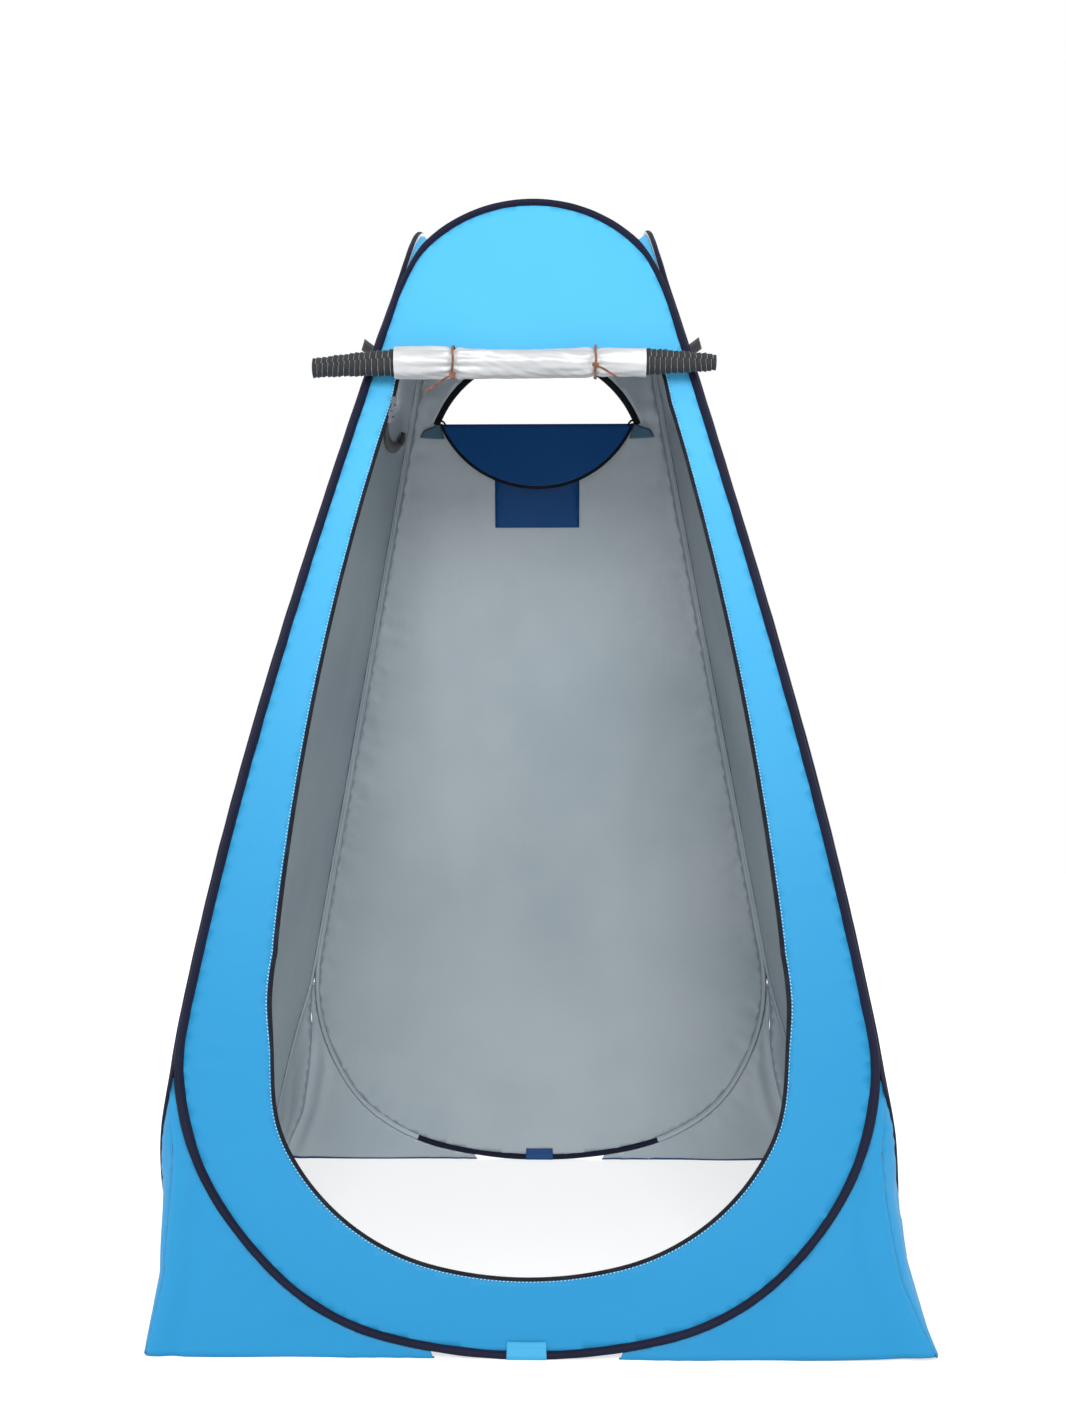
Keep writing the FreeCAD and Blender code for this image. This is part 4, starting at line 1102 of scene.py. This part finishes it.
wound_tape = coil_finish()
COILS = {
    "left": dict(sign=-1, start=ROLL_LEFT, length=0.133, ribs=14.5, root=0.0225, tip=0.0160),
    "right": dict(sign=1, start=ROLL_RIGHT, length=0.114, ribs=12.5, root=0.0225, tip=0.0135),
}
COIL_STEPS = 16
COIL_ROUND = 64
COIL_SLANT = 0.35
RIB_CREST = 0.86
WINDINGS = 5
for seed, (hand, coil) in enumerate(COILS.items()):
    rows = int(coil["ribs"] * COIL_STEPS)
    share = np.linspace(0, 1, rows)
    turns = np.linspace(0, 2 * np.pi, COIL_ROUND, endpoint=False)
    s, t = np.meshgrid(share, turns, indexing="ij")
    wander = np.array([noise.noise((x * coil["ribs"] * 0.9, seed * 3.3, 0)) for x in share])[:, None]
    phase = s * coil["ribs"] + t / (2 * np.pi) * COIL_SLANT
    saw = phase % 1.0
    taper = coil["root"] + (coil["tip"] - coil["root"]) * s
    step = np.where(saw < RIB_CREST, saw / RIB_CREST, (1 - saw) / (1 - RIB_CREST))
    lean_over = 0.0016 * np.cos(t - 1.1) * np.sin(s * 7.0)
    radius = taper + 0.0019 * step - 0.0010 + 0.0007 * wander + 0.0005 * np.sin(2 * t + phase * 1.7)
    axis_sag = (0.0045 if hand == "left" else 0.0010) * s**1.5
    place = coil["sign"] * (coil["start"] + 0.0003 + coil["length"] * s + lean_over * s)
    ring = on_wall(
        "front", place, ROLL_OUT + radius * np.cos(t), ROLL_LEVEL - axis_sag * 2 + radius * np.sin(t)
    )
    cap_rows = []
    tip_radius = radius[-1]
    end_place = place[-1]
    for number in range(1, WINDINGS * 4):
        shrink = 1 - number / (WINDINGS * 4)
        dip = 0.0012 * (number % 4 in (1, 2)) + 0.0004 * number / WINDINGS
        cap_rows.append(
            on_wall(
                "front",
                end_place - coil["sign"] * dip,
                ROLL_OUT + tip_radius * shrink * np.cos(turns),
                ROLL_LEVEL - axis_sag[-1, 0] * 2 + tip_radius * shrink * np.sin(turns),
            )
        )
    points = np.concatenate([ring, np.stack(cap_rows)])
    faces = grid_faces(len(points), COIL_ROUND)
    last = (len(points) - 1) * COIL_ROUND
    faces.append(tuple(range(last, last + COIL_ROUND)))
    if coil["sign"] > 0:
        faces = [face[::-1] for face in faces]
    piece = new_piece(f"wound_zip_{hand}", points, faces, [wound_tape])
    rib_place = np.concatenate([phase.ravel(), np.zeros(len(cap_rows) * COIL_ROUND)])
    girth = np.concatenate([(t * 0.02).ravel(), np.tile(turns * 0.01, len(cap_rows))])
    write_corners(piece, rib_place, girth)
    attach(piece, "front_wall")
    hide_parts(f"door_zip_coil_{hand}")


# ---- Ties ---------------------------------------------------------------------------------------
# Two thin braided cords, sewn to the wall above the roll, pass down over its front and under it. Each
# is held by a small overhand knot and leaves one loose tail.
CORD = 0.0040
LOOP_OUT = ROLL_RADIUS + 0.0048


def braid_finish():
    braid = Finish("braided_cord")
    source, (x, y, z) = braid.place()
    lay = ((x + z * 0.8 - y) * 2300).sine() * ((x - z * 0.8 + y) * 2300).sine()
    fade = braid.speckle(source, 90, detail=3)
    brown = braid.tint(fade.between(0.3, 0.7), (0.05, 0.012, 0.005, 1), (0.22, 0.055, 0.014, 1))
    return braid.done(
        Base_Color=braid.tint(lay.between(0.0, 1.0) * 0.35, brown, (0.42, 0.15, 0.05, 1)),
        Roughness=0.7,
        Sheen_Weight=0.3,
        Normal=braid.bump(lay, 0.8, 0.0005),
    )


braided = braid_finish()


def cord_line(name, points, thickness):
    """A cord as one smooth spline through the pull of its points."""
    line = bpy.data.curves.new(name, "CURVE")
    line.dimensions = "3D"
    line.bevel_depth = thickness / 2
    line.bevel_resolution = 4
    line.use_fill_caps = True
    line.resolution_u = 16
    spline = line.splines.new("NURBS")
    spline.points.add(len(points) - 1)
    for spot, point in zip(spline.points, points):
        spot.co = (*point, 1.0)
    spline.order_u = 3
    spline.use_endpoint_u = True
    line.materials.append(braided)
    piece = bpy.data.objects.new(name, line)
    bpy.context.scene.collection.objects.link(piece)
    return piece


def spline_length(piece):
    """A cord's own length, read from its spline."""
    bare = piece.data.copy()
    bare.bevel_depth = 0
    holder = bpy.data.objects.new("measure", bare)
    bpy.context.scene.collection.objects.link(holder)
    graph = bpy.context.evaluated_depsgraph_get()
    mesh = bpy.data.meshes.new_from_object(holder.evaluated_get(graph))
    spots = np.array([v.co for v in mesh.vertices])
    bpy.data.objects.remove(holder)
    return float(np.linalg.norm(np.diff(spots, axis=0), axis=1).sum())


def round_roll(across, degrees, grow=0.0):
    """A point on the roll's girth: 90 is its top, 0 its front and -90 its underside."""
    turn = math.radians(degrees)
    out = ROLL_OUT + (LOOP_OUT + grow) * math.cos(turn)
    up = ROLL_LEVEL + (LOOP_OUT + grow) * math.sin(turn)
    return on_wall("front", across, out, up).tolist()


def knot(name, centre, size):
    """A small overhand knot: one trefoil turn of the cord."""
    spots = []
    for n in range(13):
        turn = n / 12 * 2 * math.pi * 0.92
        spots.append(
            (
                centre[0] + size * (math.sin(turn) + 2 * math.sin(2 * turn)) / 3,
                centre[1] - size * math.sin(3 * turn) / 2.4,
                centre[2] + size * (math.cos(turn) - 2 * math.cos(2 * turn)) / 3,
            )
        )
    return cord_line(name, spots, CORD)


SEWN_END = ((0.0022, 0.038), (0.008, 0.033))
LOOP_DEGREES = (112, 78, 44, 12, -20, -52, -84, -116, -142)
TAILS = {
    "left": dict(from_degrees=-62, reach=(-0.012, -0.0335, -0.047), drop=(-0.006, -0.022, -0.030)),
    "right": dict(from_degrees=-35, reach=(0.010, 0.024, 0.0365), drop=(-0.004, -0.013, -0.021)),
}
for hand, across in TIE_PLACES.items():
    loop_points = [on_wall("front", across, out, ROLL_LEVEL + up).tolist() for out, up in SEWN_END]
    for number, degrees in enumerate(LOOP_DEGREES):
        loop_points.append(round_roll(across + 0.0016 * math.sin(number * 2.1), degrees))
    loop = cord_line(f"tie_{hand}_loop", loop_points, CORD)
    tail = TAILS[hand]
    start = np.array(round_roll(across, tail["from_degrees"], 0.0042))
    tail_points = [start.tolist()]
    for reach, drop in zip(tail["reach"], tail["drop"]):
        tail_points.append((start + [reach, -0.0015, drop]).tolist())
    end = cord_line(f"tie_{hand}_tail", tail_points, CORD)
    bow = knot(f"tie_{hand}_knot", start, CORD * 1.25)
    for piece in (loop, end, bow):
        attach(piece, "front_wall")
    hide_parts(f"roll_tie_{hand}")
    round(spline_length(loop), 3)
    round(spline_length(end), 3)


# ---- Zip sliders --------------------------------------------------------------------------------
# Two plated die-cast sliders wait at the top of the doorway's left side, each with a hanging pull.
def plated_finish():
    plated = Finish("plated_casting")
    source, _ = plated.place()
    wear = plated.speckle(source, 420, detail=4)
    return plated.done(
        Base_Color=plated.tint(wear, (0.04, 0.045, 0.055, 1), (0.10, 0.11, 0.13, 1)),
        Metallic=1.0,
        Roughness=0.38 + wear * 0.22,
        Normal=plated.bump(wear, 0.25, 0.0002),
    )


plated = plated_finish()
for name in ("door_slider_upper", "door_slider_lower", "door_pull_upper", "door_pull_lower"):
    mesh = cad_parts[name].data
    mesh.materials.clear()
    mesh.materials.append(plated)


# ---- Back window --------------------------------------------------------------------------------
# An arched opening edged with thick black zip tape. Its cover hangs inside from the sill, its blue cloth
# painted dark navy as painted shade, with a bound edge, and a gusset of the same cloth, painted a greyer
# blue as painted shade, fills each end of the sill.
FLAP_GAP = 0.001
FLAP_EDGE = 0.0055
TAPE_CURL = ((0.004, 0.0, 0.006), (-0.002, 0.003, 0.009), (-0.010, 0.004, 0.004), (-0.013, 0.002, -0.004))
TAPE_END = 0.0042
# Painted shade: the cover and the sill hem are the tent's blue cloth, painted dark navy for the shade inside
# the tent.
navy_cloth = blue_finish("shaded_blue", (0.0005, 0.062, 0.225, 1), (0.0005, 0.054, 0.195, 1), strength=1.4)


def band(name, side, path, width, thickness, finish, lift=0.0):
    """A flat tape with soft edges along a path."""
    half = thickness / 2
    section = [
        (0, -half * 0.4), (0.0006, -half), (width / 2, -half * 1.15), (width - 0.0006, -half),
        (width, -half * 0.4), (width, half * 0.4), (width - 0.0006, half), (width / 2, half * 1.15),
        (0.0006, half), (0, half * 0.4),
    ]
    return swept(name, side, path, [(-a, b) for a, b in section], [finish], lift=lift)


arch_start = math.asin((SILL - 0.004 - WINDOW_CENTRE) / WINDOW_RADIUS)
arch = evenly(arc_points((0.0, WINDOW_CENTRE), WINDOW_RADIUS, arch_start, math.pi - arch_start), 150)
window_tape = band("window_arch_tape", "back", arch, WINDOW_TAPE, 0.0026, black_tape)
window_teeth = pips(
    "window_teeth", "back", arch, 0.0, 0.0, TEETH_PITCH, (0.0012, 0.0011, 0.0015), teeth_plastic
)
for piece in (window_tape, window_teeth):
    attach(piece, "back_wall")
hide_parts("window_zip_tape")

sill_line = evenly(np.array([[-WINDOW_HALF - 0.004, SILL], [WINDOW_HALF + 0.004, SILL]]), 60)
sill_hem = band("window_sill_hem", "back", sill_line, 0.009, 0.0022, navy_cloth)
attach(sill_hem, "back_wall")

flap_low, flap_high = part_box("window_flap")
FLAP_Y = (flap_low.y + flap_high.y) / 2
FLAP_TOP = flap_high.z + FLAP_GAP
FLAP_CENTRE = -FLAP_GAP - WINDOW_RISE + WINDOW_RADIUS


def hung(across, lift, drop):
    """Points on the flap's plumb plane: across, towards the doorway, and down from the sill."""
    return np.stack(
        np.broadcast_arrays(-np.asarray(across), FLAP_Y - np.asarray(lift), FLAP_TOP + np.asarray(drop)),
        -1,
    )


def flap_wave(flat):
    drop = np.clip(-flat[:, 1] / WINDOW_RISE, 0, 1)
    broad = 0.0035 * ripple(flat, 0.12, 8, (1, 0.5))
    return drop * (broad + 0.003 * np.sin(flat[:, 0] * 21) * drop) + 0.003 * drop


def window_flap():
    start = math.asin((-FLAP_GAP - FLAP_CENTRE) / WINDOW_RADIUS)
    bow = arc_points((0.0, FLAP_CENTRE), WINDOW_RADIUS - 0.001, math.pi - start, 2 * math.pi + start)
    cut = evenly(bow, 220, closed=True)
    flat, faces = cut_cloth([cut], 0.009)
    points = hung(flat[:, 0], flap_wave(flat), flat[:, 1])
    piece = new_piece("window_cover", points, faces.tolist(), [navy_cloth, navy_cloth])
    two_faced(piece)
    edge = evenly(arc_points((0.0, FLAP_CENTRE), WINDOW_RADIUS, math.pi - start, 2 * math.pi + start), 170)
    normal = side_normals(edge, False)
    section = [(-0.0006, -0.0011), (FLAP_EDGE, -0.0011), (FLAP_EDGE, 0.0011), (-0.0006, 0.0011)]
    lift = flap_wave(edge)
    rows = [
        hung(edge[:, 0] + m * normal[:, 0], lift + n, edge[:, 1] + m * normal[:, 1]) for m, n in section
    ]
    points = np.stack(rows, 1)
    binding_faces = grid_faces(len(edge), 4)
    binding_faces += [(0, 1, 2, 3), tuple(4 * (len(edge) - 1) + n for n in (3, 2, 1, 0))]
    binding = new_piece("window_cover_binding", points, binding_faces, [black_tape])
    soft = binding.modifiers.new("soft", "BEVEL")
    soft.width = 0.0006
    soft.segments = 2
    settled(binding)
    return piece, binding, flat_area(flat, faces)


flap, flap_binding, flap_area = window_flap()
for piece, node, slot in (
    (flap, "window_flap", "navy_cloth"), (flap_binding, "window_flap_tape", "black_tape"),
):
    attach(piece, "window_flap")
    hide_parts(node)

# Painted shade: the gussets are the tent's blue cloth, painted a dark grey-blue for the shade they sit in.
gusset_painted_shade = blue_finish("gusset_blue", (0.060, 0.125, 0.185, 1), (0.048, 0.105, 0.160, 1), strength=1.6)
for hand, sign in (("left", -1), ("right", 1)):
    inner = WINDOW_HALF + 0.001
    outline = np.array(
        [[inner - 0.010, SILL - 0.030], [inner + 0.044, SILL - 0.027], [inner + 0.034, SILL - 0.012],
         [inner + 0.012, SILL - 0.004], [inner - 0.002, SILL + 0.001]]
    )
    cut = evenly(outline, 44, closed=True)
    flat, faces = cut_cloth([cut], 0.005)
    lift = -0.0022 - 0.0022 * ripple(flat, 0.02, 4 + sign) - 0.0006
    order = faces if sign < 0 else faces[:, ::-1]
    gusset = new_piece(
        f"sill_gusset_{hand}",
        on_wall("back", -sign * flat[:, 0], lift, flat[:, 1]),
        order.tolist(),
        [gusset_painted_shade, gusset_painted_shade],
    )
    two_faced(gusset)
    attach(gusset, "back_wall")
    curl = [
        on_wall("back", -sign * (WINDOW_HALF + x), -0.004 - lift_off, SILL + y).tolist()
        for x, lift_off, y in TAPE_CURL
    ]
    loose = cord_line(f"tape_end_{hand}", curl, TAPE_END)
    loose.data.materials.clear()
    loose.data.materials.append(black_tape)
    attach(loose, "back_wall")


# ---- Inner pocket -------------------------------------------------------------------------------
# A patch pocket of blue cloth under the window, sewn at its sides and foot, with its mouth a little
# open.
POCKET_HALF = 0.0875
POCKET_TOP = SILL - 0.036
POCKET_FOOT = POCKET_TOP - 0.176
POCKET_DEPTH = 0.0115
# Painted shade: the pocket is the tent's blue cloth, painted dark for the shade inside the tent.
pocket_painted_shade = blue_finish("pocket_blue", (0.0005, 0.052, 0.190, 1), (0.0005, 0.044, 0.160, 1), strength=1.6)


def inner_pocket():
    corners = np.array(
        [[-POCKET_HALF, POCKET_FOOT], [POCKET_HALF, POCKET_FOOT],
         [POCKET_HALF, POCKET_TOP], [-POCKET_HALF, POCKET_TOP]]
    )
    cut = np.concatenate([evenly(corners, 150, closed=True), corners])
    middle = (POCKET_TOP + POCKET_FOOT) / 2
    cut = cut[np.argsort(np.arctan2(cut[:, 1] - middle, cut[:, 0]), kind="stable")]
    cut = cut[np.linalg.norm(cut - np.roll(cut, 1, 0), axis=1) > 1e-5]
    flat, faces = cut_cloth([cut], 0.007)
    side_free = np.clip((POCKET_HALF - np.abs(flat[:, 0])) / 0.02, 0, 1)
    high = np.clip((flat[:, 1] - POCKET_FOOT) / 0.19, 0, 1)
    belly_out = (POCKET_DEPTH - 0.002) * np.sin(np.pi / 2 * side_free) * high**0.8
    lift = 0.0012 + belly_out + 0.0012 * ripple(flat, 0.03, 21, (0.7, 1.0)) * side_free
    piece = new_piece(
        "patch_pocket",
        on_wall("back", flat[:, 0], -lift, flat[:, 1]),
        faces[:, ::-1].tolist(),
        [pocket_painted_shade, tent_silver],
    )
    two_faced(piece, 0.0005)
    return piece, flat_area(flat, faces)


pocket, pocket_area = inner_pocket()
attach(pocket, "back_wall")
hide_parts("inner_pocket")


# ---- Hanging strap ------------------------------------------------------------------------------
# Black ribbed webbing hangs in a slack U inside the left wall, with a moulded side-release buckle near
# the rear corner.
STRAP_HALF = 0.0105
STRAP_THICK = 0.0016
STRAP_IN = 0.0062
BUCKLE_IN = 0.0042


def webbing_finish():
    webbing = Finish("ribbed_webbing")
    source, _ = webbing.place()
    _, (along, girth, _) = webbing.place(lengths=True)
    ribs = (along * 2900).sine()
    grain = (girth * 4100).sine()
    dust = webbing.speckle(source, 160, detail=4)
    return webbing.done(
        Base_Color=webbing.tint(dust, (0.004, 0.004, 0.006, 1), (0.018, 0.018, 0.022, 1)),
        Roughness=0.6 + dust * 0.2,
        Sheen_Weight=0.25,
        Normal=webbing.bump(ribs * grain + dust * 0.4, 0.7, 0.0007),
    )


webbing = webbing_finish()
strap_spots = np.array([[0.065, 1.70], [0.044, 1.63], [0.020, 1.580], [-0.030, 1.561], [-0.095, 1.556],
                        [-0.150, 1.571], [-0.212, 1.60]])
knots = np.linspace(0, 1, len(strap_spots))
finer = np.linspace(0, 1, 90)
strap_path = np.stack(
    [np.polyval(np.polyfit(knots, strap_spots[:, axis], 5), finer) for axis in (0, 1)], -1
)
strap = swept(
    "hanging_webbing",
    "left",
    strap_path,
    [(-STRAP_HALF, -STRAP_THICK / 2), (-STRAP_HALF, STRAP_THICK / 2), (0, STRAP_THICK / 2 * 1.1),
     (STRAP_HALF, STRAP_THICK / 2), (STRAP_HALF, -STRAP_THICK / 2), (0, -STRAP_THICK / 2 * 1.1)][::-1],
    [webbing],
    lift=-STRAP_IN,
)
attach(strap, "left_wall")
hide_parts("hanging_strap")


def plastic_finish():
    plastic = Finish("moulded_plastic")
    source, _ = plastic.place()
    grain = plastic.speckle(source, 1400, detail=2)
    return plastic.done(
        Base_Color=plastic.tint(grain, (0.008, 0.008, 0.010, 1), (0.020, 0.020, 0.024, 1)),
        Roughness=0.38 + grain * 0.2,
        Normal=plastic.bump(grain, 0.3, 0.0002),
    )


plastic = plastic_finish()


def moulding(name, blocks, middle):
    """Rounded blocks on the left wall's inner face, each (across, up, in, half sizes)."""
    points, faces = [], []
    for (x, z, depth), (a, b, c) in blocks:
        first = len(points)
        for sd in (-1, 1):
            for sx, sz in ((-1, -1), (1, -1), (1, 1), (-1, 1)):
                across, up = middle[0] + (x + sx * a), middle[1] + (z + sz * b)
                points.append(on_wall("left", across, -(STRAP_IN + BUCKLE_IN + depth + sd * c), up))
        for face in ((0, 3, 2, 1), (4, 5, 6, 7), (0, 1, 5, 4), (1, 2, 6, 5), (2, 3, 7, 6), (3, 0, 4, 7)):
            faces.append(tuple(first + corner for corner in face))
    piece = new_piece(name, np.array(points), faces, [plastic])
    soft = piece.modifiers.new("soft", "BEVEL")
    soft.width = 0.0011
    soft.segments = 3
    settled(piece)
    piece.data.polygons.foreach_set("use_smooth", [True] * len(piece.data.polygons))
    return piece


buckle = moulding(
    "side_release_buckle",
    [
        ((0.0, 0.0085, 0.0), (0.0112, 0.0035, 0.0034)),
        ((0.0, -0.0095, 0.0), (0.0112, 0.0020, 0.0030)),
        ((-0.0100, 0.0, 0.0), (0.0018, 0.0090, 0.0028)),
        ((0.0100, 0.0, 0.0), (0.0018, 0.0090, 0.0028)),
        ((0.0, 0.0005, 0.0), (0.0040, 0.0070, 0.0022)),
        ((0.0, -0.0045, 0.0004), (0.0095, 0.0014, 0.0020)),
    ],
    (-0.158, 1.588),
)
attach(buckle, "left_wall")
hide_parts("strap_buckle")


# ---- Guy loops ----------------------------------------------------------------------------------
# Short loops of folded webbing are sewn to the side walls' sleeves, high on each corner, for guy lines.
GUY_LEVEL = 1.662
GUY_HALF_WIDTH = 0.010
GUY_REACH = 0.0195
GUY_BEND = 0.0033
GUY_THICK = 0.0014
GUY_RISE = 0.45
GUY_SET_DOWN = 0.004
GUY_OUT = 0.0062
GUY_FROM_EDGE = 0.016
GUY_GIRTH = (0, 0.02, 0.0214, 0.0414)


def guy_line_section():
    """The folded webbing's line seen end on: out along one side, round, and back."""
    bend = arc_points((0.0, GUY_REACH - GUY_BEND), GUY_BEND, 0, math.pi, 0.0006)
    return np.concatenate([[[GUY_BEND, 0.0]], bend, [[-GUY_BEND, 0.0]]])


for side in ("left", "right"):
    for direction in (-1, 1):
        neighbour = NEIGHBOURS[side][0 if direction < 0 else 1]
        centre = direction * (BASE_HALF - math.sin(LEAN) * GUY_LEVEL - GUY_FROM_EDGE)
        line = evenly(guy_line_section(), 40)
        normal = side_normals(line, False)
        rows = []
        for offset, edge in ((0, -1), (0, 1), (GUY_THICK, 1), (GUY_THICK, -1)):
            spot = line + normal * offset
            rise = GUY_RISE * spot[:, 1] - GUY_SET_DOWN
            level = GUY_LEVEL + edge * GUY_HALF_WIDTH + rise
            rows.append(on_wall(side, centre + spot[:, 0], GUY_OUT + spot[:, 1], level))
        faces = grid_faces(len(line), 4)
        faces += [(0, 1, 2, 3), tuple(4 * (len(line) - 1) + n for n in (3, 2, 1, 0))]
        piece = new_piece(f"guy_webbing_{neighbour}_{side}", np.stack(rows, 1), faces, [webbing])
        write_lengths(piece, len(line), 4, run_along(line), np.array(GUY_GIRTH))
        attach(piece, WALL_BODY[side])
        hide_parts(f"guy_loop_{neighbour}_{side}")


# ---- Floor, light and camera --------------------------------------------------------------------
def floor_finish():
    """A pale sheet that is lit a little from below, so that its shadows stay soft."""
    pale = Finish("pale_floor")
    source, _ = pale.place()
    grain = pale.speckle(source, 30, detail=3)
    return pale.done(
        Base_Color=pale.tint(grain, (0.48, 0.48, 0.48, 1), (0.50, 0.50, 0.50, 1)),
        Roughness=0.9,
        Specular_IOR_Level=0.1,
        Emission_Color=(1.0, 1.0, 1.0, 1),
        Emission_Strength=0.62,
    )


FLOOR_HALF = 9.0
floor = new_piece(
    "studio_floor",
    np.array([[x, y, 0] for x, y in ((-1, -1), (1, -1), (1, 1), (-1, 1))]) * FLOOR_HALF,
    [(0, 1, 2, 3)],
    [floor_finish()],
)

world = bpy.data.worlds.new("studio")
world.use_nodes = True
world.node_tree.nodes["Background"].inputs["Color"].default_value = (1.0, 1.0, 1.0, 1)
world.node_tree.nodes["Background"].inputs["Strength"].default_value = 1.0
bpy.context.scene.world = world


def soft_light(name, place, aim, size, power):
    lamp = bpy.data.lights.new(name, "AREA")
    lamp.shape = "SQUARE"
    lamp.size = size
    lamp.energy = power
    stand = bpy.data.objects.new(name, lamp)
    stand.location = place
    stand.rotation_euler = (Vector(aim) - Vector(place)).to_track_quat("-Z", "Y").to_euler()
    bpy.context.scene.collection.objects.link(stand)


soft_light("key", (0.3, -4.3, 3.1), (0, 0.3, 0.7), 1.8, 150)
soft_light("left", (-4.2, -0.8, 2.4), (0, 0, 0.9), 2.2, 75)
soft_light("right", (4.2, 0.4, 2.2), (0, 0, 0.9), 2.2, 65)
soft_light("rear", (0.5, 4.4, 2.6), (0, 0, 1.1), 2.4, 85)

SENSOR = 36.0
FOCAL_SHARE = 1642 / 1066
HORIZON_SHIFT = 0.0352
CAMERA_PLACE = (0.060, -3.11, 0.931)
CAMERA_TURN = 1.15
eye = bpy.data.cameras.new("camera")
eye.sensor_fit = "HORIZONTAL"
eye.sensor_width = SENSOR
eye.lens = SENSOR * FOCAL_SHARE
eye.shift_y = HORIZON_SHIFT
camera = bpy.data.objects.new("camera", eye)
camera.location = CAMERA_PLACE
camera.rotation_euler = (math.pi / 2, 0, math.radians(CAMERA_TURN))
bpy.context.scene.collection.objects.link(camera)
bpy.context.scene.camera = camera
bpy.context.scene.view_settings.view_transform = "Standard"
